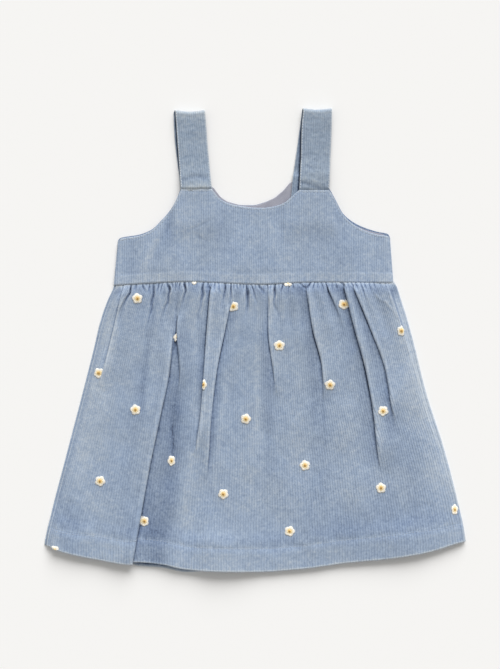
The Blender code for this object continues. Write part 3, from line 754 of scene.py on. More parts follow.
def stitchHeight(share, which):
    # y of the hem's stitching and of its lower edge, for each column
    hemX = skirtPlace(share, np.full_like(share, foldLevels[0]))
    edge = hemHeight(hemX, which)
    return edge + hemDepth(hemX), edge


def waleAcross(x, y):
    # how far across the cloth each place is: the wales fan out evenly between the sides
    left, right = skirtSides(y)
    return skirt["waleWidth"] * (x - left) / (right - left)


# The front skirt's surface.

frontSkirt = {
    "columns": 600,
    "upperRows": 115,
    "hemRows": 14,
    "innerStep": 8,
    "shell": 0.55,
    "hemShell": 1.8,
    "sideShell": 1.3,
    "loft": 1.1,
    "sideFall": 9.0,
    "leftInset": 2.2,
    "waistRise": (-1.5, 5.0),  # the cloth rises out of the seam between these distances below it
    "waistLift": 0.5,
    "waistLiftLength": 30.0,
    "hemStep": 6.0,
    "hemClearance": (2.5, 14.0),
    "crest": ((0.9, 36.0), (0.9, 90.0)),  # height of the gathers and how far down they reach
    "ripple": {"count": 23.0, "height": 1.0, "length": 46.0,
               "drifts": ((0.30, 19.0, 1.0), (0.20, 43.0, 0.0))},
    "valley": {"widths": (0.72, 0.50), "most": 3.2, "lipAt": 2.1, "lipWidth": 0.8, "lipMost": 3.0,
               "lipShare": 0.15},
    "waver": ((0.7, 11.0, 9, 1.0),),  # rows of height, length, seed and stretch
    "uneven": ((0.30, 36.0, 3, 1.8), (0.13, 12.0, 5, 1.5)),
    "hemPulls": ((0.22, 7.0, 8, 2.5),),
    "hemGroove": {"depth": 0.15, "halfWidth": 0.7, "above": -0.9},
    "flowerPad": (0.35, 6.5),  # height and width of the swell that the embroidery stiffens
    "softFade": 14.0,
}

# Where the front skirt is rubbed pale and where light and shade are painted on it: highlights on the folds'
# edges and the gathers' lips, and sheen along the right side. Shade lies in the gathers' valleys, under the
# waist seam, above and below the hem's stitching and inside the left side. The waist seam has lighter ends,
# and the seam and the hem's stitching have lighter lines. A row holds place, width and strength.
frontMarks = {
    "foldEdgeHighlight": 0.08,
    "hemWear": 0.16,
    "hemEdgeWear": ((0.0, 0.8, 1.1),),
    "sideWear": ((0.0, 0.9, 0.55),),
    "rightSidePaintedSheen": ((2.6, 2.6, 0.55),),
    "ridgeCreasePaler": 0.45,
    "lipHighlight": 0.19,
    "valleyDark": 0.20,
    "waistDark": ((3.0, 2.0, 0.80), (7.0, 4.5, 0.80), (0.1, 1.1, -1.6)),
    "waistEndsPale": ((-135.0, 9.0, 1.6), (134.0, 14.0, 0.9)),
    "hemLineDark": ((7.5, 6.0, 0.42), (0.0, 1.1, -0.45), (-3.5, 3.0, 0.26)),
    "leftSideDark": ((1.6, 0.7, 0.4),),
    "fadePast": 20.0,
}

# The gathers' valleys under the waist seam: half width, depth, and x and y of their points.
valleys = (
    (1.1, 3.2, (-119.3, 55.0), (-121.0, 45.0), (-127.0, 33.0), (-133.0, 14.0)),
    (0.9, 1.8, (-126.6, 55.0), (-128.8, 49.0), (-130.4, 42.0)), (0.8, 1.2, (-131.6, 54.5), (-133.2, 45.0)),
    (0.9, 2.6, (-115.4, 55.0), (-114.8, 50.0), (-116.0, 44.0)),
    (0.9, 3.0, (-109.8, 55.0), (-107.8, 50.0), (-104.5, 43.0)), (0.8, 2.2, (-105.6, 56.0), (-105.0, 50.0)),
    (1.1, 2.2, (-98.8, 56.0), (-98.0, 45.0), (-101.0, 28.0), (-105.0, 8.0), (-106.0, -14.0)),
    (0.8, 2.6, (-101.9, 56.0), (-103.4, 41.0)), (0.9, 2.8, (-93.0, 56.0), (-95.2, 41.0)),
    (0.8, 2.4, (-89.5, 56.0), (-91.6, 40.0)),
    (1.1, 2.8, (-84.6, 56.0), (-83.4, 46.0), (-84.2, 36.0), (-89.3, 25.0), (-94.5, 9.0)),
    (0.8, 2.6, (-80.6, 57.0), (-81.2, 48.0)), (0.8, 2.4, (-77.6, 57.0), (-76.4, 44.0)),
    (0.7, 2.2, (-74.8, 57.0), (-75.3, 46.0)), (0.8, 2.8, (-71.0, 57.0), (-73.6, 46.0)),
    (1.0, 3.0, (-68.0, 56.0), (-67.4, 47.0), (-70.2, 34.0), (-74.6, 22.0)),
    (0.8, 2.2, (-65.0, 57.0), (-63.0, 46.0)), (0.7, 2.0, (-61.0, 57.0), (-61.6, 48.0)),
    (0.7, 1.8, (-56.0, 57.0), (-56.8, 46.0)),
    (1.1, 3.0, (-49.8, 56.0), (-51.6, 42.0), (-54.3, 25.7), (-58.4, 4.0)),
    (0.8, 2.2, (-45.6, 56.0), (-45.8, 46.0)), (0.8, 2.4, (-39.4, 56.0), (-39.2, 46.0)),
    (0.9, 2.8, (-36.0, 56.0), (-35.0, 48.0), (-30.5, 42.0)), (0.7, 2.0, (-32.4, 56.0), (-33.0, 48.0)),
    (1.0, 3.0, (-28.4, 55.0), (-29.8, 42.0), (-34.0, 28.0)),
    (0.9, 2.8, (-23.4, 55.0), (-23.2, 43.0), (-25.0, 28.0)),
    (0.7, 2.2, (-20.4, 55.0), (-20.8, 46.0)), (0.7, 2.2, (-17.4, 55.0), (-17.0, 45.0)),
    (0.8, 2.4, (-14.2, 55.0), (-15.4, 46.0)), (0.7, 2.0, (-11.4, 55.0), (-11.0, 46.0)),
    (1.1, 3.4, (-8.0, 55.0), (-7.2, 42.0), (-7.8, 31.0), (-10.4, 16.0)),
    (0.8, 2.4, (-3.6, 55.0), (-1.2, 44.0), (3.8, 30.0)), (1.0, 3.0, (3.2, 55.0), (5.4, 50.0), (9.4, 43.0)),
    (0.7, 2.0, (0.4, 55.0), (0.8, 46.0)), (0.9, 2.8, (10.8, 55.0), (12.2, 40.0), (12.4, 24.0)),
    (0.7, 2.2, (15.4, 55.0), (15.0, 46.0)),
    (1.1, 2.8, (19.8, 55.0), (18.0, 38.0), (20.6, 28.0), (26.0, 16.0)),
    (0.9, 3.0, (27.2, 55.0), (24.8, 47.0), (25.4, 40.0)), (0.7, 2.0, (23.6, 55.0), (22.6, 47.0)),
    (0.8, 2.2, (33.0, 53.0), (32.8, 44.0)), (0.8, 2.6, (37.4, 56.0), (37.0, 45.0)),
    (0.9, 3.0, (42.6, 56.0), (49.4, 47.6)), (0.9, 3.2, (53.6, 56.0), (50.8, 49.0), (50.0, 42.0)),
    (0.9, 2.8, (57.6, 56.0), (55.6, 44.0)), (0.7, 2.2, (61.6, 56.0), (61.0, 47.0)),
    (0.7, 2.2, (64.4, 56.0), (65.0, 46.0)), (0.9, 2.2, (67.6, 56.0), (69.8, 45.0), (73.6, 30.0)),
    (0.8, 1.5, (74.4, 56.0), (76.4, 46.0)), (0.8, 2.2, (78.4, 56.0), (79.8, 46.0)),
    (1.2, 3.4, (82.6, 56.0), (86.0, 49.5)), (0.8, 2.2, (89.6, 56.0), (91.4, 46.0)),
    (0.8, 2.4, (94.0, 56.0), (95.4, 47.0)), (0.9, 2.8, (97.6, 56.0), (99.0, 45.0)),
    (0.9, 2.8, (101.6, 56.0), (105.0, 45.0), (109.0, 33.0)), (0.8, 2.6, (106.0, 56.0), (108.0, 46.0)),
    (0.8, 2.4, (110.4, 56.0), (113.0, 42.0)), (0.7, 2.2, (115.2, 56.0), (117.4, 45.0)),
    (0.8, 2.4, (120.4, 56.0), (123.0, 47.0)), (0.7, 2.0, (126.0, 56.0), (129.0, 46.0)),
)

# Softer troughs and swells: x and y of both ends, half width, height.
softFolds = (
    (-118.1, 50.5, -130.0, 21.8, 3.0, -1.2), (-99.4, 48.0, -112.5, -50.0, 5.0, -1.1),
    (-82.7, 34.8, -95.1, 1.5, 4.0, -0.9), (-80.5, -82.0, -80.0, -110.0, 3.0, -0.8),
    (-29.1, 54.0, -31.0, 32.5, 2.6, -1.3), (-7.4, 54.0, -6.8, 35.4, 2.6, -1.3),
    (18.4, 45.0, 19.1, 30.0, 2.6, -1.1), (-140.0, -30.0, -168.0, -190.0, 20.0, 1.0),
    (0.0, 10.0, -6.0, -190.0, 20.0, 1.2), (43.0, 0.0, 50.0, -190.0, 15.0, 1.0),
    (92.0, -70.0, 100.0, -190.0, 15.0, 1.0), (-90.0, -208.0, -84.0, -216.0, 18.0, 1.0),
    (-180.0, -190.0, -184.0, -206.0, 20.0, 1.6), (146.0, -190.0, 150.0, -208.0, 34.0, 2.5),
    (-34.0, -200.0, -32.0, -224.0, 30.0, 4.6),
)

# Soft bands painted paler and darker: partly faded dye, partly painted shade beside folds and above the hem,
# and partly painted light along lit sides and ridges. x and y of both ends, half width, strength.
fadedAndPaintedBands = (
    (-146.0, 10.0, -172.0, -120.0, 11.0, 0.14), (-160.0, -130.0, -162.0, -185.0, 14.0, 0.09),
    (-112.0, -40.0, -126.0, -150.0, 7.0, -0.08), (-57.0, -78.0, -68.0, -165.0, 6.0, 0.12),
    (-15.0, -80.0, -15.0, -150.0, 18.0, 0.04), (8.0, -30.0, 15.0, -120.0, 5.0, -0.09),
    (36.0, -80.0, 40.0, -150.0, 8.0, 0.05), (61.0, -66.0, 63.0, -140.0, 10.0, -0.10),
    (86.0, -78.0, 88.0, -136.0, 7.0, 0.05), (132.0, -78.0, 131.0, -150.0, 7.0, -0.06),
    (53.0, -14.0, 58.0, -60.0, 6.0, -0.09),
    (142.0, 15.0, 178.0, -130.0, 10.0, 0.16), (182.0, -140.0, 190.0, -185.0, 9.0, 0.08),
    (-72.5, 30.0, -76.0, -55.0, 5.0, -0.15), (-76.0, -75.0, -91.0, -210.0, 10.0, -0.29),
    (-102.0, -165.0, -100.0, -215.0, 9.0, -0.20), (-99.0, 25.0, -109.5, -58.0, 3.2, -0.18),
    (-58.0, 8.0, -57.0, -80.0, 4.0, 0.16), (-50.5, 36.0, -50.5, 28.0, 2.5, 0.18),
    (-29.5, -55.0, -38.5, -120.0, 3.0, 0.13), (-35.8, -60.0, -44.0, -116.0, 2.0, -0.10),
    (13.0, -45.0, 14.0, -75.0, 6.0, -0.12), (3.5, 30.0, 1.5, -85.0, 2.8, 0.12),
    (110.0, 5.0, 117.0, -50.0, 5.0, -0.10), (128.5, -45.0, 130.5, -75.0, 5.0, -0.12),
    (145.0, -45.0, 152.0, -68.0, 12.0, 0.10), (134.0, -82.0, 138.0, -95.0, 8.0, -0.09),
    (150.0, -135.0, 152.0, -150.0, 8.0, -0.09), (125.0, -180.0, 125.0, -205.0, 90.0, -0.15),
    (-175.0, -176.0, -178.0, -205.0, 16.0, -0.19), (-118.0, -190.0, -118.0, -200.0, 8.0, -0.12),
    (-138.0, 38.0, -146.0, -40.0, 10.0, 0.08), (-139.0, 35.0, -143.0, 5.0, 4.5, 0.12),
    (-147.0, -60.0, -149.0, -95.0, 6.0, 0.09), (-92.0, 8.0, -92.0, -8.0, 4.0, -0.10),
    (-77.4, -6.0, -77.8, -20.0, 2.2, 0.22), (-86.0, -20.0, -103.5, -108.0, 4.5, -0.13),
    (-110.5, -142.0, -122.7, -215.0, 4.5, -0.13),
)

# Thin lines of painted shade by the fold edges: half width, strength, where each fades in and out, and its
# points.
paintedShadeLines = (
    (1.0, 0.7, 0.2, 0.8, (-80.2, -80.0), (-79.6, -98.0), (-79.0, -116.0)),
    (1.3, 0.6, 0.1, 0.7, (65.0, -32.0), (65.4, -58.0), (67.6, -88.0), (69.5, -118.0)),
)

# Small creases: half width, height, where each fades in and out, and its points.
frontCreases = (
    (0.9, 0.55, 0.15, 0.75, (130.0, 45.0), (135.5, 28.6), (141.1, 15.3), (147.0, -5.0), (153.2, -25.0),
     (161.5, -47.6), (165.7, -69.9), (170.5, -85.2), (177.5, -102.0), (190.0, -129.0)),
    (0.9, 0.60, 0.2, 0.6, (113.2, 48.0), (121.2, 38.4), (126.2, 36.8), (133.0, 29.0), (139.0, 20.0)),
    (1.2, -0.6, 0.2, 0.7, (-80.6, -82.0), (-80.1, -96.0), (-80.0, -112.0)),
    (1.3, -0.5, 0.2, 0.6, (-152.5, -44.0), (-147.5, -50.0), (-140.0, -53.0)),
    (1.3, -0.5, 0.2, 0.6, (-155.0, -52.0), (-151.0, -58.0), (-146.0, -60.0)),
    (1.4, -0.5, 0.3, 0.6, (-72.0, 38.0), (-75.5, 30.0), (-77.5, 22.0)),
    (1.2, -0.5, 0.3, 0.7, (-187.0, -178.0), (-189.0, -204.0)),
    (1.5, 0.4, 0.2, 0.7, (-185.0, -150.0), (-172.0, -156.0), (-160.0, -155.0)),
    (1.6, -0.4, 0.2, 0.7, (150.0, -166.0), (163.0, -160.0), (178.0, -162.0)),
)

# Embroidered flowers: x, y, turn in degrees, width as a share, and the fold that cuts it with the side that
# shows, 1 for the cloth on top and -1 for the cloth below.
frontFlowers = (
    (-113.8, 39.6, 8, 1.0, None, 0), (85.5, 34.0, 40, 1.0, None, 0), (-21.0, 32.0, 20, 1.0, 4, -1),
    (141.3, 8.3, 62, 0.75, None, 0), (23.4, -5.9, 0, 1.1, None, 0), (-151.8, -32.6, 30, 1.0, 0, -1),
    (-49.4, -43.6, 50, 0.55, 3, 1), (-74.2, 2.4, 15, 1.0, 2, -1), (72.5, -44.0, 66, 1.0, None, 0),
    (-115.6, -68.0, 10, 1.0, None, 0), (123.6, -69.2, 35, 1.0, None, 0), (-8.9, -76.9, 56, 1.0, None, 0),
    (-80.9, -117.5, 25, 0.74, None, 0), (48.3, -121.9, 12, 1.0, None, 0), (-149.8, -137.0, 44, 1.0, None, 0),
    (121.9, -143.8, 5, 1.0, None, 0), (-30.7, -149.7, 33, 1.0, None, 0), (193.3, -164.8, 70, 0.66, None, 0),
    (-106.6, -175.9, 18, 0.74, None, 0), (33.5, -185.6, 52, 1.0, None, 0), (-194.0, -204.2, 28, 1.0, None, 0),
    (-59.0, 58.0, 36, 1.0, None, 0), (31.8, 56.0, 0, 1.0, None, 0),
)


def drift(share, drifts):
    # a slow wander along the columns, the sum of a sine for each
    return sum(size * np.sin(count * share + start) for size, count, start in drifts)


def gatherRelief(share, x, y, below):
    # The crests of the gathers run out downwards. Each valley between them is a sharp bell across its path
    # with a lip to each side, and it widens a little and runs out along it. Longer softer waves lie under
    # both.
    crest = sum(rise * (1.0 - ramp(below, 6.0, reach)) for rise, reach in frontSkirt["crest"])
    crest = crest * ramp(below, -1.5, 11.0)
    shape = frontSkirt["valley"]
    narrow, widening = shape["widths"]
    valley, lip = np.zeros(x.shape), np.zeros(x.shape)
    waver = unevenness(x, y, frontSkirt["waver"])
    for halfWidth, depth, *path in valleys:
        away, along = pathDistance(x + waver, y, path)
        away = away / (halfWidth * (narrow + widening * along))
        depth = depth * (1.0 - ramp(along, -0.1, 1.01))
        valley = valley + depth * hump(away, 1.0)
        lip = lip + depth * hump(away - shape["lipAt"], shape["lipWidth"])
    valley = np.minimum(valley, shape["most"])
    lip = np.minimum(lip, shape["lipMost"]) * (1.0 - ramp(valley, 0.2, 1.0))
    wave = frontSkirt["ripple"]
    phase = wave["count"] * share + drift(share, wave["drifts"]) / 2.0
    fade = ramp(below, 2.0, 16.0) * (1.0 - ramp(below, 8.0, 2.0 * wave["length"]))
    soft = wave["height"] * (0.5 + 0.5 * np.cos(math.tau * phase)) * fade
    return crest - valley + shape["lipShare"] * lip + soft, valley, lip


def foldPush(away):
    # the top cloth's rounded edge is pushed out over the cloth below, and that cloth is tucked in under it
    return foldShape["leanAside"] * hump(away, 2.5) - away * np.exp(0.5 * (1.0 - away**2))


def foldRelief(x, y):
    # Each fold is a step up to the top cloth and a long slope down from it, pushed sideways at its edge. Away
    # from its edge the slope begins higher up, and it fades out at the lower end.
    height, shift, nose, paintedFoldShade = (np.zeros_like(x) for _ in range(4))
    shape = foldShape
    leans = np.linspace(0.0, shape["leanMost"], 35)
    tops = np.linspace(0.2, 1.8, 81)
    outlines = (shape["edge"] * tops + leans[:, None] * foldPush(tops)).min(axis=1)
    for i, path in enumerate(foldPlaces(y)):
        over = folds["side"][i] * (x - path)
        far = np.maximum(over, 0.0)
        top, end = folds["top"][i], folds["end"][i]
        begin = ramp(-y, -top - shape["spread"] * far, folds["start"][i] - top)
        length = begin * ramp(y, end, end + shape["fade"])
        rise = folds["height"][i] * length
        away = over / shape["edge"]
        step = shape["under"] * ramp(away, -1.5, -0.5) + (1.0 - shape["under"]) * ramp(away, 0.1, 1.9)
        height = height + rise * step * np.exp(-((far / folds["reach"][i]) ** shape["power"]))
        lean = np.minimum(shape["leanMost"], shape["leanShare"] * rise)
        pushed = lean * foldPush(away)
        shift = shift + folds["side"][i] * pushed
        real = ramp(rise, 0.3, 1.6)
        # the edge's place, for its painted highlight, and the painted shade beside the fold and under its
        # edge
        nose = np.maximum(nose, hump(away - 1.5, 0.5) * real)
        beside = hump(np.maximum(-over, 0.0), folds["shadeReach"][i])
        covered = np.maximum(np.interp(lean, leans, outlines) - over - pushed, 0.0)
        dark = (shape["contact"][0] + shape["contact"][1] * rise) * hump(covered, shape["contactWidth"])
        least, near = folds["least"][i], hump(y - folds["darkest"][i], shape["contactReach"])
        dark = dark * (least + (shape["contactMost"] - least) * near)
        paintedFoldShade = paintedFoldShade + (folds["shade"][i] * beside + dark) * (1.0 - ramp(away, 0.5, 0.9)) * real
    return height, shift, nose, paintedFoldShade


def frontSkirtSurface(share, y):
    # points of the front skirt's upper face for each column and y, with what its marks need
    piece = frontSkirt
    share, y = np.broadcast_arrays(share, y)
    x = skirtPlace(share, y)
    stitchY = stitchHeight(share, "front")[0]
    left, right = skirtSides(y)
    below = waistHeight(x) - y
    inside = ramp(np.minimum(x - left, right - x), 0.0, piece["sideFall"])
    free = inside * ramp(below, *piece["waistRise"])
    large, shift, nose, paintedFoldShade = foldRelief(x, y)
    gathers, valley, lip = gatherRelief(share, x, y, below)
    relief = piece["loft"] + large + gathers + bands(x, y, softFolds, piece["softFade"])
    relief = relief + ramp(below, 5.0, 60.0) * unevenness(x, y, piece["uneven"])
    relief = relief + creaseRelief(x, y, frontCreases)
    padHeight, padWidth = piece["flowerPad"]
    for flowerX, flowerY, _, width, fold, _ in frontFlowers:
        if fold is None:
            relief = relief + padHeight * hump(np.hypot((x - flowerX) / width, y - flowerY), padWidth)
    relief = np.maximum(relief, 0.0) * free
    nearer, further = piece["hemClearance"]
    overHem = 1.0 - ramp(y, stitchY + nearer, stitchY + further)
    low = skirtLow + (hemLow - skirtLow) * overHem
    low = low + piece["waistLift"] * (1.0 - ramp(below, 0.0, piece["waistLiftLength"])) * free
    doubled = 1.0 - ramp(y, stitchY - piece["hemStep"], stitchY)
    thick = corduroyThick + (hemWall - corduroyThick) * doubled
    seam = piece["hemGroove"]
    groove = seam["depth"] * hump(y - stitchY - seam["above"], seam["halfWidth"])
    pulls = unevenness(x, y, piece["hemPulls"]) * hump(y - stitchY - 1.0, 5.0) * inside
    inset = piece["leftInset"] * hump(x - left, 6.0)
    points = pointsOf(x + shift * inside + inset, y, low + thick + relief - groove + pulls)
    return points, {"x": x, "below": below, "inside": inside, "doubled": doubled, "nose": nose * inside,
                    "paintedFoldShade": paintedFoldShade * inside, "valley": valley * inside, "lip": lip * inside}


def frontSkirtAt(x, y):
    # the upper face at plan places, for what is sewn on it
    return frontSkirtSurface(shareAt(x, y), y)[0]


def skirtRows(share, which, upper, lower, above):
    # y of every row: from the waist seam to the hem's stitching, and from there to its edge
    waistX = skirtPlace(share, np.full_like(share, waistHeight(0.0)))
    top = waistHeight(waistX) + above
    stitchY, hemY = stitchHeight(share, which)
    toStitching = top + (stitchY - top) * upper[:, None]
    return np.concatenate([toStitching, stitchY + (hemY - stitchY) * lower[1:, None]])


def frontSkirtWearAndPaintedLight(y, marks, left, right):
    # rubbed pale at the hem and the sides, paler along two creases, painted highlights on the folds' edges
    # and the gathers' lips, and painted sheen along the right side
    look, x, below = frontMarks, marks["x"], marks["below"]
    # painted highlight along the folds' edges, and the hem's rubbed edge
    wearAndPaintedLight = look["foldEdgeHighlight"] * marks["nose"] + bells(y - y[-1:], look["hemEdgeWear"])
    wearAndPaintedLight = wearAndPaintedLight + look["hemWear"] * ramp(marks["doubled"], 0.5, 1.0)
    wearAndPaintedLight = wearAndPaintedLight + bells(np.minimum(x - left, right - x), look["sideWear"])
    # painted sheen along the right side, where the cloth curves down
    wearAndPaintedLight = wearAndPaintedLight + bells(right - x, look["rightSidePaintedSheen"]) * ramp(y, -200.0, -120.0) * ramp(below, 4.0, 22.0)
    # paler along the two ridge creases
    wearAndPaintedLight = wearAndPaintedLight + look["ridgeCreasePaler"] * creaseRelief(x, y, frontCreases[:2])
    # painted highlight on the gathers' lips
    return wearAndPaintedLight + look["lipHighlight"] * marks["lip"] * ramp(below, 0.0, 3.0)


def frontSkirtPaintedShade(y, z, marks, left):
    # painted shade where it lies low, beside folds, in the gathers, along seams and the hem's stitching and
    # inside the left side, painted light at the seams' lines, and bands painted paler and darker
    look, x, below = frontMarks, marks["x"], marks["below"]
    # bands painted paler and darker, partly faded dye and partly painted light and shade
    paintedBands = bands(x, y, fadedAndPaintedBands, look["fadePast"]) / corduroy["paintedShadeStrength"]
    paintedShadeAndFade = paintedShadeFromDepth(z, x) + marks["paintedFoldShade"] + creaseRelief(x, y, paintedShadeLines) - paintedBands
    paintedShadeAndFade = paintedShadeAndFade + look["valleyDark"] * marks["valley"] ** 2 * ramp(below, -0.5, 0.8)
    paintedShadeAndFade = paintedShadeAndFade + bells(below, look["waistDark"])
    paintedShadeAndFade = paintedShadeAndFade - bells(x, look["waistEndsPale"]) * hump(below - 1.5, 3.0)
    paintedShadeAndFade = paintedShadeAndFade + bells(y - y[-1:] - hemDepth(x), look["hemLineDark"])
    onSide = ramp(below, 8.0, 22.0) * ramp(y, -196.0, -180.0)
    return paintedShadeAndFade + bells(x - left, look["leftSideDark"]) * onSide


def buildFrontSkirt():
    # columns crowd at the folds, more at the higher ones, and rows at the waist and at the hem
    piece = frontSkirt
    share = crowded(piece["columns"], [(home, 0.009, 1.2 + 0.8 * height)
                                       for home, height in zip(homeShares[1:-1], folds["height"])])
    upper = crowded(piece["upperRows"], [(0.0, 0.07, 3.5), (1.0, 0.008, 4.0)])
    lower = crowded(piece["hemRows"] + 1, [(0.0, 0.12, 2.0), (1.0, 0.06, 3.0)])
    y = skirtRows(share, "front", upper, lower, 1.2)
    outer, marks = frontSkirtSurface(share[None], y)
    thick = piece["shell"] + (piece["hemShell"] - piece["shell"]) * marks["doubled"]
    thick = np.maximum(thick, piece["sideShell"] * (1.0 - ramp(marks["inside"], 0.0, 0.25)))
    left, right = skirtSides(y)
    wearAndPaintedLight = frontSkirtWearAndPaintedLight(y, marks, left, right)
    paintedShadeAndFade = frontSkirtPaintedShade(y, outer[..., 2], marks, left)
    uv = np.stack([waleAcross(marks["x"], y), y], axis=-1)
    made = addCloth("skirt_front_cloth", outer, thick, skirtCloth, uv, wearAndPaintedLight, paintedShadeAndFade, step=piece["innerStep"])
    return finishPiece(made, "corduroy", "skirt_front")


frontSkirtPiece = buildFrontSkirt()
print("front skirt:", len(frontSkirtPiece.data.polygons), "faces")


# The back skirt, which lies face down: its outer face is its underside.

backSkirt = {
    "columns": 230,
    "upperRows": 73,
    "hemRows": 16,
    "innerStep": 4,
    "shell": 0.42,
    "hemShell": 1.8,
    "sideShell": 1.15,
    "width": 400.0,  # near the hem, to count distances from the sides
    "gathers": 44.0,
    "gatherHeight": 0.75,
    "gatherReach": (48.0, 16.0),
    "drifts": ((0.42, 23.0, 0.4), (0.25, 51.0, 1.1)),
    "loft": 0.22,
    "uneven": ((0.22, 44.0, 11, 2.5),),
    "hemGroove": {"depth": 0.30, "halfWidth": 0.7, "above": -0.9},
    "hemFlatter": 0.75,
    "hemFrom": (1.2, 0.6),  # the hem's cloth is doubled from this far below its stitching to this far above
    "flowerRise": 0.75,
    "flowerReach": 7.5,
    "edgeWear": ((0.0, 0.9, 1.0),),
    "sideWear": ((0.0, 1.0, 0.45),),
    "hemWear": 0.10,
    # painted shade of the inner face at the sides, then a painted pale line at the hem's edge and painted
    # shade above it, where the lifted front hem shades it
    "inside": (0.1, -1.9, 9.0),  # dark of the inner face at the sides, more at the hem's edge, more above it
}
backFlowerRows = ((28, 120), (-12, 138), (-52, 148), (-92, 160), (-132, 172), (-172, 180))  # y and half width
backFlowerPitch = 74
backFlowers = [
    (x, y, 23 * (i + 5 * j) % 72, 1.0, None, 0)
    for j, (y, half) in enumerate(backFlowerRows)
    for i, x in enumerate(np.arange(-half + backFlowerPitch // 2 * (j % 2), half + 1, backFlowerPitch))
]


def backSkirtSurface(share, y):
    # points of the back skirt's underside, flat on the floor but for shallow gathers and the room for its
    # flowers
    piece = backSkirt
    share, y = np.broadcast_arrays(share, y)
    x = skirtPlace(share, y)
    stitchY = stitchHeight(share, "back")[0]
    below = waistHeight(x) - y
    phase = piece["gathers"] * share + drift(share, piece["drifts"])
    middle, more = piece["gatherReach"]
    gathers = np.abs(np.cos(math.pi * phase)) ** 0.8
    gathers = gathers * (1.0 - ramp(below, 6.0, middle + more * np.sin(40.0 * share)))
    loft = (piece["loft"] + unevenness(x, y, piece["uneven"])) * ramp(below, 0.0, 40.0)
    relief = piece["gatherHeight"] * gathers + loft
    for flowerX, flowerY, *_ in backFlowers:
        away = np.hypot(x - flowerX, y - flowerY)
        relief = np.maximum(relief, piece["flowerRise"] * hump(away, piece["flowerReach"]))
    under, over = piece["hemFrom"]
    doubled = 1.0 - ramp(y, stitchY - under, stitchY + over)
    relief = relief * (1.0 - piece["hemFlatter"] * doubled)
    seam = piece["hemGroove"]
    groove = seam["depth"] * hump(y - stitchY - seam["above"], seam["halfWidth"])
    return pointsOf(x, y, relief + groove), {"x": x, "doubled": doubled}


def backSkirtAt(x, y):
    # the underside at plan places, for what is sewn on it
    return backSkirtSurface(shareAt(x, y), y)[0]


def buildBackSkirt():
    # its columns run from right to left, because its outer face looks down
    piece = backSkirt
    share = np.linspace(1.0, 0.0, piece["columns"])
    upper = crowded(piece["upperRows"], [(0.0, 0.06, 3.0), (1.0, 0.01, 3.0)])
    lower = crowded(piece["hemRows"] + 1, [(0.0, 0.1, 2.0), (1.0, 0.06, 2.0)])
    y = skirtRows(share, "back", upper, lower, -0.15)
    outer, marks = backSkirtSurface(share[None], y)
    thick = piece["shell"] + (piece["hemShell"] - piece["shell"]) * marks["doubled"]
    fromSide = np.minimum(share, 1.0 - share)[None] * piece["width"]
    fromEdge = y - y[-1:]
    thick = np.maximum(thick, piece["sideShell"] * (1.0 - ramp(fromSide, 2.0, 5.0)))
    wearAndPaintedLight = bells(fromEdge, piece["edgeWear"]) + bells(fromSide, piece["sideWear"])
    wearAndPaintedLight = wearAndPaintedLight + piece["hemWear"] * marks["doubled"]
    # painted shade where it lies low
    paintedShadeAndFade = paintedShadeFromDepth(-outer[..., 2], -marks["x"])
    atSide, atEdge, above = piece["inside"]
    inside = atSide + (atEdge + above * ramp(fromEdge, 0.6, 1.9)) * ramp(fromSide, 3.0, 6.0)
    uv = np.stack([waleAcross(marks["x"], y), y], axis=-1)
    made = addCloth("skirt_back_cloth", outer, thick, skirtCloth, uv, wearAndPaintedLight, paintedShadeAndFade, step=piece["innerStep"],
                    insidePaintedShade=inside)
    return finishPiece(made, "corduroy", "skirt_back")


backSkirtPiece = buildBackSkirt()
print("back skirt:", len(backSkirtPiece.data.polygons), "faces")


# The bodice: front, back and the lining that shows inside the back neck.

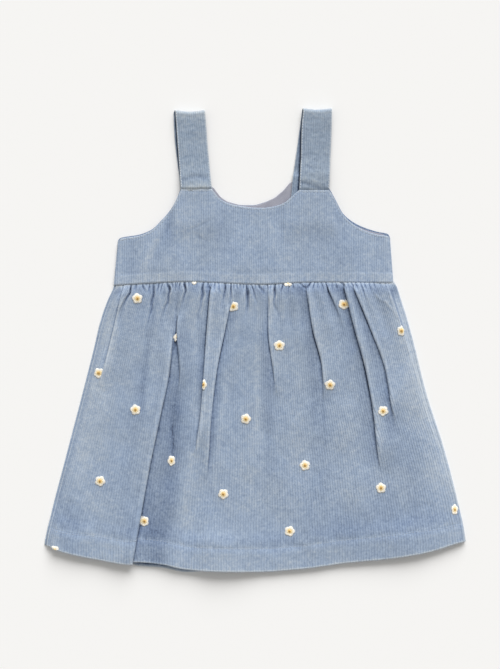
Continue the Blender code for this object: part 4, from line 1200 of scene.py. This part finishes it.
bodice = {
    "armholeLeft": columnsOf((
        (-132.6, 95.3, 95.9), (-130.6, 97.3, 97.9), (-112.7, 100.2, 101.0), (-100.9, 105.0, 105.6),
        (-91.0, 114.2, 114.7), (-81.1, 126.0, 126.5), (-75.4, 136.4, 137.2), (-71.6, 145.2, 147.4),
    ), "x", "front", "back"),
    "neck": columnsOf((
        (-41.6, 145.4, 147.4), (-33.6, 135.9, 137.4), (-23.7, 131.0, 132.2), (-11.7, 128.6, 129.7),
        (-1.9, 127.5, 129.6), (7.8, 127.3, 132.0), (18.4, 128.6, 136.5), (29.1, 132.6, 145.2),
        (35.6, 138.2, 152.2), (42.5, 144.4, 154.6),
    ), "x", "front", "back"),
    "armholeRight": columnsOf((
        (71.9, 144.2, 146.4), (77.9, 134.4, 135.3), (85.7, 120.2, 121.2), (96.8, 110.2, 112.3),
        (108.0, 104.6, 107.2), (119.1, 101.3, 103.8), (129.0, 99.9, 101.8), (130.6, 98.2, 99.0),
    ), "x", "front", "back"),
    "spans": (("armholeLeft", 44), (None, 18), ("neck", 52), (None, 18), ("armholeRight", 44)),
    "rows": {"front": 84, "back": 40, "lining": 26},
    "waistEnds": (-136.4, 133.6),
    "sideTop": 97.0,  # where the straight sides begin, and how far down they run
    "sideLength": 41.0,
    "sideRise": 3.0,
    "swell": {"height": 0.7, "fromSide": 30.0, "rises": (56.0, 70.0), "falls": (90.0, 122.0)},
    "strapEnds": ((-75.0, -41.0), (32.0, 73.5)),
    "strapFall": 11.0,
    "strapFrom": (92.0, 117.0),
    "overStraps": {"narrower": 0.7, "from": (141.5, 144.0)},  # the edge is drawn in more over them
    "edgePlump": 0.06,
    "backEdgePlump": 0.2,
    "backLoft": 0.22,
    "stitchInset": 1.7,
    "edgeInside": (0.6, 1.2),  # the plumpness ends from this far before the stitching to this far past it
    "besideStitches": ((0.0, 0.55, -0.14), (2.6, 1.6, 0.08)),  # rows of place, width and height
    "allowance": 9.5,  # of the waist seam, pressed up behind the bodice
    "allowanceRise": 0.22,
    "seam": {"drop": 0.48, "thinner": 0.4, "reach": 1.3},  # its edge is drawn down into the waist seam
    "waleSpread": 0.955,
    "pucker": ((0.16, 5.0, 21, 1.0),),  # rows of height, length, seed and stretch
    "uneven": ((0.22, 34.0, 22, 1.6), (0.09, 11.0, 23, 1.3)),
    "backUneven": ((0.10, 30.0, 24, 1.6),),
    "liningUneven": ((0.12, 22.0, 25, 1.4),),
    "liningBelow": 0.14,  # its upper face under the front bodice's lower one, past the gap
    "liningThick": 0.8,
}

# Where the bodice is rubbed pale, and where painted shade lies on it: along its stitching, in two creases,
# along the back's edge and on the back's inner face. A row holds place, width and strength.
bodiceMarks = {
    "edgeWear": ((0.8, 0.8, 0.45),),
    "moreOnStraps": 0.5,
    "strapsFrom": (143.0, 144.5),
    "waistWear": ((0.5, 0.7, 0.25), (0.0, 0.35, 0.70)),
    "sideWear": ((0.0, 6.0, 0.20),),
    "allowanceWear": 0.26,
    "allowanceEdgeWear": ((0.0, 1.0, 0.08),),
    "puckerWear": ((0.10, 3.6, 26, 1.0),),
    "seamDark": ((0.5, 0.7, 0.06),),
    "creaseDark": 1.2,
    "fadePast": 9.0,
    "backWaistWear": ((0.4, 0.9, 0.5),),
    "backEdgePaintedShade": ((0.0, 1.0, -1.3),),
    "backInside": 1.3,
}

# Creases in the bodice front: half width, height, where each fades in and out, and its points.
bodiceCreases = (
    (0.9, -0.40, 0.3, 0.7, (-66.0, 105.6), (-56.6, 108.2), (-47.0, 113.6), (-36.0, 118.4)),
    (0.9, -0.30, 0.3, 0.7, (-60.0, 104.0), (-54.0, 99.0), (-42.0, 92.6)),
    (1.4, -0.35, 0.2, 0.8, (-48.5, 84.0), (-48.5, 56.0)),
    (1.6, -0.30, 0.2, 0.8, (-100.9, 81.0), (-100.9, 57.0)),
    (3.4, -0.55, 0.3, 0.7, (-78.0, 118.0), (-88.0, 101.0), (-98.0, 83.0), (-101.0, 66.0)),
    (3.4, 0.45, 0.3, 0.7, (-88.0, 110.0), (-96.0, 98.0), (-105.0, 82.0), (-107.0, 64.0)),
    (5.0, -0.30, 0.2, 0.8, (60.0, 110.0), (66.0, 70.0)), (5.0, -0.30, 0.2, 0.8, (5.0, 118.0), (2.0, 70.0)),
)

# Soft bands painted paler and darker on the bodice, partly faded dye and partly painted shade in its creases
# and painted light on the ridges beside them: x and y of both ends, half width, strength.
bodiceFadedAndPaintedBands = (
    (-80.0, 117.0, -98.0, 72.0, 4.0, -0.13), (-92.0, 104.0, -108.0, 68.0, 4.5, 0.10),
    (-66.0, 122.0, -64.0, 92.0, 8.0, 0.08), (-76.0, 117.0, -74.0, 112.0, 2.0, 0.12),
    (-38.0, 112.0, -36.0, 88.0, 12.0, -0.06), (-118.0, 88.0, -120.0, 66.0, 6.0, -0.07),
    (20.0, 112.0, 26.0, 84.0, 14.0, 0.04), (78.0, 112.0, 84.0, 78.0, 8.0, -0.06),
    (104.0, 92.0, 108.0, 70.0, 9.0, 0.05),
)


def bodiceColumns():
    # x of the columns at the top edge, even along each curve of it, and the edge's height for front and back
    xs, edges = [], {"front": [], "back": []}
    seams = {}
    for name in ("armholeLeft", "neck", "armholeRight"):
        part = bodice[name]
        seams[name] = [(part["x"][k], part["front"][k], part["back"][k]) for k in (0, -1)]
    straight = iter(((seams["armholeLeft"][1], seams["neck"][0]),
                     (seams["neck"][1], seams["armholeRight"][0])))
    for name, spans in bodice["spans"]:
        if name:
            fine = np.linspace(bodice[name]["x"][0], bodice[name]["x"][-1], 300)
            heights = {which: curve(fine, bodice[name]["x"], bodice[name][which]) for which in edges}
        else:
            start, end = next(straight)
            fine = np.linspace(start[0], end[0], 300)
            heights = {which: np.linspace(start[k], end[k], 300) for k, which in ((1, "front"), (2, "back"))}
        along = np.concatenate([[0.0], np.cumsum(np.hypot(np.diff(fine), np.diff(heights["front"])))])
        even = np.linspace(0.0, along[-1], spans + 1)[(1 if xs else 0):]
        xs.append(np.interp(even, along, fine))
        for which in edges:
            edges[which].append(np.interp(even, along, heights[which]))
    return np.concatenate(xs), {which: np.concatenate(parts) for which, parts in edges.items()}


bodiceX, bodiceTop = bodiceColumns()
bodiceShare = (bodiceX - bodiceX[0]) / (bodiceX[-1] - bodiceX[0])


def bodiceGrid(which, rows, side=0.0, top=0.0, waist=0.15):
    # plan places of a panel: straight lines down from the top edge to the waist seam, drawn in at its edges
    inward = side * (1.0 - 2.0 * bodiceShare)
    lowX = bodice["waistEnds"][0] + bodiceShare * (bodice["waistEnds"][1] - bodice["waistEnds"][0])
    down = crowded(rows, [(0.0, 0.05, 3.0), (1.0, 0.05, 3.0)])[:, None]
    x = (bodiceX + inward) * (1.0 - down) + (lowX + inward) * down
    over = bodice["overStraps"]
    highY = bodiceTop[which] - top * (1.0 + over["narrower"] * ramp(bodiceTop[which], *over["from"]))
    return x, highY * (1.0 - down) + (waistHeight(lowX) + waist) * down


def bodiceEdgeAway(x, y, which):
    # distance to the top edge and to the waist seam
    path = np.stack([bodiceX, bodiceTop[which]], axis=1)[::2]
    return pathDistance(x, y, path)[0], y - waistHeight(x)


def fromBodiceSides(x, y):
    # distance to the nearer side, each a straight line from its armhole down to the waist seam
    down = np.clip((bodice["sideTop"] - y) / bodice["sideLength"], 0.0, 1.0)
    tops = (bodiceX[0], bodiceX[-1])
    left, right = (top + (end - top) * down for top, end in zip(tops, bodice["waistEnds"]))
    return np.minimum(x - left, right - x)


def edgeShape(away, plump, stitchAt):
    # a plump sewn edge: raised out to the stitching, with a groove for it and a soft swell past it
    before, past = bodice["edgeInside"]
    raised = plump * (1.0 - ramp(away, stitchAt - before, stitchAt + past))
    return raised + bells(away - stitchAt, bodice["besideStitches"])


def frontBodiceAt(x, y):
    # the front's upper face: over the lining and the straps' ends, with a soft swell, plump edges and creases
    fromSide = fromBodiceSides(x, y)
    lift = np.zeros(np.broadcast(x, y).shape)
    fall = bodice["strapFall"]
    for left, right in bodice["strapEnds"]:
        across = ramp(x, left - fall, left) * (1.0 - ramp(x, right, right + fall))
        lift = np.maximum(lift, across * ramp(y, *bodice["strapFrom"]))
    swell = bodice["swell"]
    rise = swell["height"] * ramp(fromSide, 0.0, swell["fromSide"])
    rise = rise * ramp(y, *swell["rises"]) * (1.0 - ramp(y, *swell["falls"]))
    low = skirtLow + ramp(fromSide, 0.0, bodice["sideRise"]) * (frontLow - skirtLow)
    z = low + lift * (liftedLow - frontLow) + rise + corduroyThick
    edgeAway, waistAway = bodiceEdgeAway(x, y, "front")
    z = z + edgeShape(edgeAway, bodice["edgePlump"], bodice["stitchInset"])
    seam, allowance = bodice["seam"], bodice["allowance"]
    z = z - seam["drop"] * (1.0 - ramp(waistAway, 0.0, seam["reach"]))
    z = z + bodice["allowanceRise"] * (1.0 - ramp(waistAway, allowance - 1.2, allowance + 0.8))
    onAllowance = 1.0 - ramp(waistAway, allowance - 3.0, allowance + 1.0)
    z = z + unevenness(x, 0.0 * y, bodice["pucker"]) * onAllowance
    z = z + unevenness(x, y, bodice["uneven"]) * ramp(np.minimum(edgeAway, fromSide), 0.0, 12.0)
    return pointsOf(x, y, z + creaseRelief(x, y, bodiceCreases))


def backBodiceAt(x, y):
    # the back's underside, just clear of the floor between its plump edges
    edgeAway, waistAway = bodiceEdgeAway(x, y, "back")
    rise = bodice["backLoft"] - edgeShape(edgeAway, bodice["backEdgePlump"], bodice["stitchInset"])
    rise = rise - 0.2 * hump(waistAway, 1.5)
    within = ramp(edgeAway, 3.0, 10.0) * ramp(waistAway, 3.0, 10.0)
    return pointsOf(x, y, np.maximum(rise + unevenness(x, y, bodice["backUneven"]) * within, 0.0))


def buildFrontBodice():
    # rubbed along its edges and the pressed allowance; painted shade where it lies low, along its stitching
    # and in its creases, and bands painted paler and darker
    look, allowance = bodiceMarks, bodice["allowance"]
    x, y = bodiceGrid("front", bodice["rows"]["front"], top=0.4)
    outer = frontBodiceAt(x, y)
    edgeAway, waistAway = bodiceEdgeAway(x, y, "front")
    wearAndPaintedLight = bells(edgeAway, look["edgeWear"]) * (1.0 + look["moreOnStraps"] * ramp(y, *look["strapsFrom"]))
    wearAndPaintedLight = wearAndPaintedLight + bells(waistAway, look["waistWear"]) + bells(fromBodiceSides(x, y), look["sideWear"])
    wearAndPaintedLight = wearAndPaintedLight + look["allowanceWear"] * (1.0 - ramp(waistAway, allowance - 1.5, allowance + 0.5))
    wearAndPaintedLight = wearAndPaintedLight + bells(waistAway - allowance, look["allowanceEdgeWear"])
    wearAndPaintedLight = wearAndPaintedLight + unevenness(x, 0.0 * y, look["puckerWear"]) * (1.0 - ramp(waistAway, 5.0, allowance))
    paintedShadeAndFade = paintedShadeFromDepth(outer[..., 2], x) + bells(edgeAway - bodice["stitchInset"], look["seamDark"])
    paintedShadeAndFade = paintedShadeAndFade - look["creaseDark"] * creaseRelief(x, y, bodiceCreases[:2])
    paintedShadeAndFade = paintedShadeAndFade - bands(x, y, bodiceFadedAndPaintedBands, look["fadePast"]) / corduroy["paintedShadeStrength"]
    seam = bodice["seam"]
    thick = corduroyThick - seam["thinner"] * (1.0 - ramp(waistAway, 0.0, seam["reach"]))
    uv = np.stack([bodice["waleSpread"] * x, y], axis=-1)
    made = addCloth("bodice_front_cloth", outer, thick, bodiceCloth, uv, wearAndPaintedLight, paintedShadeAndFade)
    return finishPiece(made, "corduroy", "bodice_front")


def buildBackBodice():
    # its columns run from right to left, as the back skirt's do
    x, y = (places[:, ::-1] for places in bodiceGrid("back", bodice["rows"]["back"]))
    outer = backBodiceAt(x, y)
    edgeAway, waistAway = bodiceEdgeAway(x, y, "back")
    # the back's edge and its inner face carry painted shade
    wearAndPaintedLight = bells(waistAway, bodiceMarks["backWaistWear"]) + bells(edgeAway, bodiceMarks["backEdgePaintedShade"])
    paintedShadeAndFade = paintedShadeFromDepth(-outer[..., 2], -x)
    uv = np.stack([bodice["waleSpread"] * x, y], axis=-1)
    made = addCloth("bodice_back_cloth", outer, corduroyThick - outer[..., 2], bodiceCloth, uv, wearAndPaintedLight, paintedShadeAndFade,
                    insidePaintedShade=bodiceMarks["backInside"])
    return finishPiece(made, "corduroy", "bodice_back")


def buildLining():
    # it ends short of the back bodice's own edges
    x, y = bodiceGrid("back", bodice["rows"]["lining"], side=4.5, top=0.35, waist=0.8)
    z = frontLow - gap - bodice["liningBelow"] + unevenness(x, y, bodice["liningUneven"])
    plain = np.zeros_like(x)
    made = addCloth("lining_back_cloth", pointsOf(x, y, z), plain + bodice["liningThick"], liningCloth,
                    np.stack([x, y], axis=-1), plain, plain, insidePaintedShade=0.0)
    return finishPiece(made, "lining", "lining_back")


frontBodicePiece = buildFrontBodice()
backBodicePiece = buildBackBodice()
liningPiece = buildLining()
print("bodice:", len(frontBodicePiece.data.polygons) + len(backBodicePiece.data.polygons), "faces")
print("lining:", len(liningPiece.data.polygons), "faces")


# The straps: flat bands from inside the back bodice, round the fold at the shoulder, to the front seam.

strapTables = {
    "strap_left": columnsOf((
        (124.0, 3.9, -71.4, -42.4), (140.0, 3.9, -72.0, -43.0), (149.6, 3.9, -72.6, -43.6),
        (153.0, 2.6, -73.0, -44.0), (157.5, 1.1, -73.4, -44.4), (175.9, 1.1, -75.8, -46.6),
        (199.0, 1.1, -78.2, -48.9), (219.2, 1.1, -79.0, -49.8), (219.2, 5.6, -77.0, -48.1),
        (205.0, 4.9, -76.0, -47.0), (188.0, 4.2, -74.9, -45.8), (170.0, 4.1, -73.6, -44.2),
        (159.0, 5.2, -72.8, -43.1), (152.0, 6.2, -72.2, -42.3), (143.6, 5.95, -71.7, -41.6),
    ), "y", "z", "left", "right"),
    "strap_right": columnsOf((
        (120.0, 3.9, 33.6, 62.6), (139.0, 3.9, 35.0, 64.0), (156.6, 3.9, 36.6, 65.6),
        (160.0, 2.6, 37.0, 66.0), (164.5, 1.1, 37.7, 66.7), (185.0, 1.1, 40.7, 69.2),
        (205.0, 1.1, 43.3, 72.1), (221.2, 1.1, 45.5, 74.5), (221.2, 5.6, 46.6, 74.6),
        (207.0, 4.9, 45.2, 74.2), (192.0, 4.3, 44.7, 73.8), (178.0, 4.2, 44.5, 73.1),
        (166.5, 5.2, 43.8, 72.7), (159.0, 6.3, 43.4, 72.4), (142.4, 5.95, 42.6, 71.7),
    ), "y", "z", "left", "right"),
}
strap = {
    "bend": 7,  # the last row of the lower leg
    "stepsPerSpan": 12,
    "bendSteps": 12,
    "across": 30,
    "round": 6,
    "slack": 0.12,  # taken off half the thickness, for the unevenness
    "dip": 1.8,
    "dipLength": 14.0,
    "creasedLength": 85.0,  # from the front seam up
    "sink": {"depth": 1.1, "between": (1.5, 3.8)},  # the front end sinks under the bodice's edge
    "stitchInset": 0.9,
    "stitchGroove": ((0.0, 0.55, 0.42),),  # a row of place, width and depth
    "stitchEnds": (2.0, 3.4),
    "stitches": {"pitch": 2.5, "length": 1.7, "radius": 0.26, "lift": 0.22},
    "pillow": 0.30,
    "mapHalf": 13.4,  # half of a face's width in the wale map, and its rim's
    "mapRim": 3.1,
    "mapEnd": 46.5,
    "narrowUneven": ((0.20, 8.0, 31, 0.6),),  # rows of height, length, seed and stretch
    "uneven": ((0.20, 22.0, 32, 0.6),),
    "edgeWear": ((0.0, 0.5, 0.70), (0.9, 0.8, 0.15)),  # rows of place, width and strength
    "shoulderWear": ((3.0, 5.0, 0.38), (0.0, 1.6, 0.50)),
    # painted shade along the stitching, in the creases, on the lower leg and over the whole right strap; the
    # roll's ridge is painted paler
    "seamDark": ((0.4, 0.6, 0.5),),
    "creaseDark": 0.9,
    "lowerDark": (0.3, 3.2, 1.7),  # all over, beside the upper leg, and how far that reaches
    "paintedDarker": {"strap_left": 0.0, "strap_right": 0.22},
}

# Creases across the straps' front ends: half width, height, fades, and points as x and y.
strapCreases = {
    "strap_left": (
        (3.8, 1.05, 0.02, 0.95, (-71.0, 143.0), (-64.0, 145.4), (-57.0, 147.0), (-50.0, 147.2),
         (-43.5, 146.4)),
        (2.8, -1.0, 0.05, 0.9, (-71.5, 153.6), (-64.0, 156.4), (-57.0, 157.6), (-50.0, 157.0),
         (-44.0, 154.6)),
        (1.5, -0.35, 0.2, 0.7, (-72.0, 176.0), (-62.0, 178.0), (-52.0, 175.0)),
        (1.5, -0.30, 0.2, 0.7, (-72.0, 196.0), (-64.0, 199.0), (-55.0, 197.0)),
    ),
    "strap_right": (
        (1.3, -0.85, 0.02, 0.95, (43.0, 152.2), (50.0, 150.4), (58.2, 147.6), (66.0, 145.6), (71.5, 144.4)),
        (1.8, 0.5, 0.1, 0.8, (44.0, 156.0), (54.0, 154.8), (66.0, 151.5)),
        (1.4, -0.6, 0.2, 0.6, (49.0, 168.5), (54.0, 166.0), (58.2, 161.5)),
        (1.5, -0.4, 0.2, 0.7, (45.0, 178.0), (54.0, 180.0), (64.0, 178.0)),
    ),
}


def strapStations(name):
    # places along the middle line, its direction and its length so far, with the half circle at the shoulder
    values = np.stack(list(strapTables[name].values()), axis=1)
    legs = []
    for leg in (values[: strap["bend"] + 1], values[strap["bend"] + 1:]):
        spans = len(leg) - 1
        at = np.linspace(0.0, spans, spans * strap["stepsPerSpan"] + 1)
        legs.append(np.stack([curve(at, np.arange(spans + 1.0), column) for column in leg.T], axis=1))
    start, end = legs[0][-1], legs[1][0]
    turn = np.linspace(0.0, math.pi, strap["bendSteps"] + 1)[1:-1, None]
    share = (1.0 - np.cos(turn)) / 2.0
    bend = start * (1.0 - share) + end * share
    bend[:, :1] = start[0] + (end[1] - start[1]) / 2.0 * np.sin(turn)
    y, z, left, right = np.concatenate([legs[0], bend, legs[1]]).T
    along = unit(np.stack([np.gradient(y), np.gradient(z)], axis=1))
    length = np.concatenate([[0.0], np.cumsum(np.hypot(np.diff(y), np.diff(z)))])
    return {"y": y, "z": z, "left": left, "right": right, "alongY": along[:, 0], "alongZ": along[:, 1],
            "length": length, "foldLine": y.max(), "name": name}


def strapSurface(stations, across, length, depth):
    # A point of a strap: across from its middle line, length along it and depth through it, 1 at the outer
    # face and -1 at the inner one. The shoulder's fold dips in the middle.
    at = {key: np.interp(length, stations["length"], stations[key])
          for key in ("y", "z", "left", "right", "alongY", "alongZ")}
    half = (at["right"] - at["left"]) / 2.0
    x = (at["left"] + at["right"]) / 2.0 + across
    edge = half - np.abs(across)
    own = strap["pillow"] * ramp(edge, 0.5, 4.0) - bells(edge - strap["stitchInset"], strap["stitchGroove"])
    own = own + unevenness(across, length, strap["narrowUneven"]) * ramp(edge, 0.3, 1.5)
    own = own + unevenness(across, length, strap["uneven"])
    fromEnd = stations["length"][-1] - length
    creased = creaseRelief(x, at["y"], strapCreases[stations["name"]]) * (fromEnd < strap["creasedLength"])
    own = own + creased * (depth > 0.0)
    sink = strap["sink"]
    sunk = sink["depth"] * (1.0 - ramp(fromEnd, *sink["between"])) * np.maximum(depth, 0.0)
    through = depth * (strapThick / 2.0 - strap["slack"] + 0.5 * own) - sunk
    through = np.minimum(through, at["z"])  # the lower leg stays above the floor
    dip = strap["dip"] * (1.0 - (across / half) ** 2)
    dip = dip * ramp(at["y"], stations["foldLine"] - strap["dipLength"], stations["foldLine"])
    points = np.stack([x, at["y"] - dip + through * at["alongZ"], at["z"] - through * at["alongY"]], axis=-1)
    return points, edge, creased


def strapRing():
    # One ring, clockwise seen along the strap: the outer face, the right edge, the inner face and the left
    # edge. It gives each point's share across the flat part, its bulge past it, its depth and its map's u.
    flat = np.linspace(-1.0, 1.0, strap["across"] + 1)
    turn = np.linspace(0.0, math.pi, strap["round"] + 1)[1:-1]
    share = np.concatenate([flat, np.ones_like(turn), flat[::-1], -np.ones_like(turn)])
    bulge = np.concatenate([np.zeros_like(flat), np.sin(turn), np.zeros_like(flat), -np.sin(turn)])
    depth = np.concatenate([np.ones_like(flat), np.cos(turn), -np.ones_like(flat), -np.cos(turn)])
    half, rim = strap["mapHalf"], strap["mapRim"]
    inner = half + rim + half * (1.0 + flat)
    across = np.concatenate([flat * half, half + turn, inner, inner[-1] + turn, [strap["mapEnd"]]])
    return share, bulge, depth, across


def buildStrap(name):
    # the ring carried along the stations, closed by a face at each end
    stations = strapStations(name)
    length = stations["length"][:, None]
    half = ((stations["right"] - stations["left"]) / 2.0)[:, None]
    radius = strapThick / 2.0 - strap["slack"]
    share, bulge, depth, mapAcross = strapRing()
    across = share * (half - radius) + bulge * radius
    points, edge, creased = strapSurface(stations, across, length, np.broadcast_to(depth, across.shape))
    number = np.arange(across.size).reshape(across.shape)
    following = np.roll(number, -1, axis=1)
    sides = np.stack([number[:-1], number[1:], following[1:], following[:-1]], axis=-1).reshape(-1, 4)
    faces = [sides, number[:1], number[-1:, ::-1]]
    place = np.stack(np.meshgrid(mapAcross, stations["length"]), axis=-1)
    corners = np.stack([place[:-1, :-1], place[1:, :-1], place[1:, 1:], place[:-1, 1:]], axis=2)
    corners = np.concatenate([corners.reshape(-1, 2), place[0, :-1], place[-1, -2::-1]])
    wearAndPaintedLight = bells(edge, strap["edgeWear"])
    wearAndPaintedLight = wearAndPaintedLight + bells(stations["foldLine"] - points[..., 1], strap["shoulderWear"])
    # painted shade along the stitching and in the creases, and painted light on the ridge of the left strap's
    # roll
    paintedShadeAndFade = bells(edge - strap["stitchInset"], strap["seamDark"])
    paintedShadeAndFade = paintedShadeAndFade - strap["creaseDark"] * creased * (depth > 0.0)
    # painted shade: the lower leg is darkest beside the upper leg's left edge, where that leg shades it
    apex = stations["y"].argmax()
    edgeX = np.interp(points[..., 1], stations["y"][apex:][::-1], stations["left"][apex:][::-1])
    allOver, beside, reach = strap["lowerDark"]
    lower = allOver + beside * hump(np.maximum(edgeX - points[..., 0], 0.0), reach)
    paintedShadeAndFade = paintedShadeAndFade + strap["paintedDarker"][name] + lower * ramp(-depth, 0.2, 0.9)
    made = addMesh(name + "_cloth", points.reshape(-1, 3), faces, [strapCloth], corners,
                   {"wearAndPaintedLight": wearAndPaintedLight, "paintedShadeAndFade": paintedShadeAndFade})
    return finishPiece(made, "corduroy", name), stations


leftStrapPiece, leftStations = buildStrap("strap_left")
rightStrapPiece, rightStations = buildStrap("strap_right")
print("straps:", len(leftStrapPiece.data.polygons) + len(rightStrapPiece.data.polygons), "faces")


# Stitching: a row of short threads along each sewn edge.

def insetPath(path, inset):
    # the same path moved inwards, to the right of its own direction, with its ends drawn in
    path = np.array(path, float)
    along = unit(np.gradient(path, axis=0))
    moved = path + inset * np.stack([along[:, 1], -along[:, 0]], axis=1)
    return moved[2:-2]


def bodiceRows(which, surface, facing):
    # rows of stitches round the neck and armholes
    path = np.stack([bodiceX, bodiceTop[which]], axis=1)
    ends = np.cumsum([0] + [spans for _, spans in bodice["spans"]])
    rows = []
    for start, end in zip(ends, ends[1:]):
        inset = insetPath(path[start: end + 1], bodice["stitchInset"])
        rows.append(stitchTubes(surface, inset, facing))
    return rows


def hemRows(which, surface, facing):
    # one row of stitches along the top of the turned-up hem
    x = np.linspace(skirt["sides"]["left"][-1] + 3.5, skirt["sides"]["right"][-1] - 3.5, 400)
    y = hemHeight(x, which) + hemDepth(x) - 0.9
    return [stitchTubes(surface, np.stack([x, y], axis=1), facing, pitch=3.3)]


def strapRows(stations):
    # a row along each edge of the outer face, in the strap's own plan: across and length
    fromStart, fromEnd = strap["stitchEnds"]
    length = np.linspace(fromStart, stations["length"][-1] - fromEnd, 200)
    half = np.interp(length, stations["length"], (stations["right"] - stations["left"]) / 2.0)

    def outerFace(across, along):
        return strapSurface(stations, across, along, np.ones_like(across))[0]

    rows = []
    for side in (-1.0, 1.0):
        path = np.stack([side * (half - strap["stitchInset"]), length], axis=1)
        rows.append(stitchTubes(outerFace, path, -1.0, **strap["stitches"]))
    return rows


def addStitches(name, rows, thread=stitchThread):
    # all the rows of a piece as one mesh
    points, faces = joinTubes(rows)
    points[:, 2] = np.maximum(points[:, 2], 0.0)  # pressed flat where it lies on the floor
    return finishPiece(addMesh(name, points, faces, [thread]), "embroidery")


bodiceStitches = addStitches("bodice_stitching", bodiceRows("front", frontBodiceAt, 1.0))
backBodiceStitches = addStitches("back_bodice_stitching", bodiceRows("back", backBodiceAt, -1.0))
hemStitches = addStitches("hem_stitching", hemRows("front", frontSkirtAt, 1.0))
backHemStitches = addStitches("back_hem_stitching", hemRows("back", backSkirtAt, -1.0))
leftStrapStitches = addStitches("strap_left_stitching", strapRows(leftStations), paleThread)
rightStrapStitches = addStitches("strap_right_stitching", strapRows(rightStations), paleThread)
print("stitching ready")


# The embroidered flowers: five satin-stitched petals round a golden middle with a small brown eye.

flower = {
    "petals": 5,
    "threads": 9,  # in each petal
    "petalHalf": 36.0,  # degrees
    "start": 1.9,
    "reach": (4.1, 1.1),  # how far a petal reaches at its sides, and how much more in its middle
    "halo": (1.2, 2.9, 3.4),  # where the pale gold threads start, and where they end in turn
    "haloThreads": 20,
    "middle": 1.75,
    "middleThreads": 7,
    "middleSpread": 0.88,
    "eye": 0.52,
    "eyeThreads": 3,
    "radius": 0.34,
    "clearOfFold": 2.9,  # how far from a fold's edge the cut threads stop
}


def flowerThreads():
    # Thread paths in the flower's own plan, as x, y and height for each thread and ring, and each one's
    # colour. A thread's height falls with the square and fourth power of its own place along it.
    own = alongThread
    share = (own + 1.0) / 2.0
    rings = len(own)

    def lifted(plan, height):
        # a plan with its heights
        return np.concatenate([plan, np.broadcast_to(height, plan.shape[:2])[..., None]], axis=-1)

    def spokes(inner, outer, start, reach, height):
        # straight threads outwards, from the turn inner at start to the turn outer at reach
        begin = start * np.stack([np.cos(inner), np.sin(inner)], axis=-1)[..., None, :]
        end = (reach[..., None] * np.stack([np.cos(outer), np.sin(outer)], axis=-1))[..., None, :]
        plan = begin * (1.0 - share[:, None]) + end * share[:, None]
        return lifted(plan.reshape(-1, rings, 2), height)

    step = np.linspace(-1.0, 1.0, flower["threads"])
    petal = np.arange(flower["petals"])[:, None] * math.tau / flower["petals"] + math.pi / 2.0
    half = math.radians(flower["petalHalf"])
    reach = flower["reach"][0] + flower["reach"][1] * (1.0 - np.abs(step) ** 1.6) + 0.0 * petal
    petals = spokes(petal + step * half * 0.8, petal + step * half, flower["start"], reach,
                    0.40 - 0.42 * own**4 + 0.08 * (1.0 - own**2))

    ring = np.arange(flower["haloThreads"]) * math.tau / flower["haloThreads"]
    start, short, long = flower["halo"]
    reach = np.where(np.arange(flower["haloThreads"]) % 2, short, long)
    halo = spokes(ring, ring, start, reach, 0.72 - 0.12 * share - 0.20 * own**4)

    spread = np.linspace(-flower["middleSpread"], flower["middleSpread"], flower["middleThreads"])[:, None]
    chord = flower["middle"] * np.sqrt(1.0 - spread**2)
    middle = lifted(np.stack([chord * own, flower["middle"] * spread + 0.0 * own], axis=-1),
                    0.98 * (1.0 - 0.35 * spread**2) - 0.45 * own**4)

    turn = np.arange(flower["eyeThreads"])[:, None] * math.tau / flower["eyeThreads"] + own
    eye = lifted(flower["eye"] * np.stack([np.cos(turn), np.sin(turn)], axis=-1),
                 1.10 + 0.12 * (1.0 - own**2))
    parts = (petals, halo, middle, eye)
    return np.concatenate(parts), np.repeat(np.arange(4), [len(part) for part in parts])


def addFlowers(name, spots, surface, facing, clipTo, height=1.0):
    # The same threads, turned, placed and laid on the cloth at each spot. Threads that a fold, seam or edge
    # would hide are left out.
    threads, colour = flowerThreads()
    centres, ups, colours = [], [], []
    for x, y, turn, width, fold, shown in spots:
        cosine, sine = math.cos(math.radians(turn)), math.sin(math.radians(turn))
        planX = x + width * (cosine * threads[..., 0] - sine * threads[..., 1])
        planY = y + sine * threads[..., 0] + cosine * threads[..., 1]
        keep = clipTo(planX.mean(axis=1), planY.mean(axis=1))
        drawn = np.zeros_like(planX)
        if fold is not None:
            side = folds["side"][fold]
            path = curve(planY, foldLevels, foldByLevel[fold])
            over = shown * side * (planX - path)
            keep = keep & (over.mean(axis=1) > 0.2)
            limit = np.maximum(over, flower["clearOfFold"])
            planX = path + side * shown * limit
            drawn = side * shown * (np.maximum(over, 0.0) - limit)
        up = surfaceUps(surface, planX, planY, facing)
        base = surface(planX, planY)
        base[..., 0] += drawn
        centres.append((base + height * threads[..., 2:] * up)[keep])
        ups.append(up[keep])
        colours.append(colour[keep])
    centres, ups, colours = (np.concatenate(parts) for parts in (centres, ups, colours))
    points, faces = threadTubes(centres, ups, np.full(centres.shape[:2], flower["radius"]))
    points[:, 2] = np.maximum(points[:, 2], 0.0)
    sideFaces = threadShape["sides"] * (threadShape["rings"] - 1)  # of each thread, and it has two ends
    index = np.concatenate([np.repeat(colours, sideFaces), colours, colours])
    made = addMesh(name, points, faces, [petalThread, haloThread, goldThread, eyeThread], faceMaterial=index)
    return finishPiece(made, "embroidery")


def frontShows(x, y):
    # true between the waist seam and the hem's edge
    return (y < waistHeight(x) - 0.4) & (y > hemHeight(x, "front") + 0.5)


def backShows(x, y):
    # true everywhere: no fold, seam or edge cuts a flower on the back
    return np.ones(x.shape, bool)


frontFlowerPiece = addFlowers("front_flowers", frontFlowers, frontSkirtAt, 1.0, frontShows)
backFlowerPiece = addFlowers("back_flowers", backFlowers, backSkirtAt, -1.0, backShows, height=0.35)
print("flowers:", len(frontFlowerPiece.data.polygons) + len(backFlowerPiece.data.polygons), "faces")
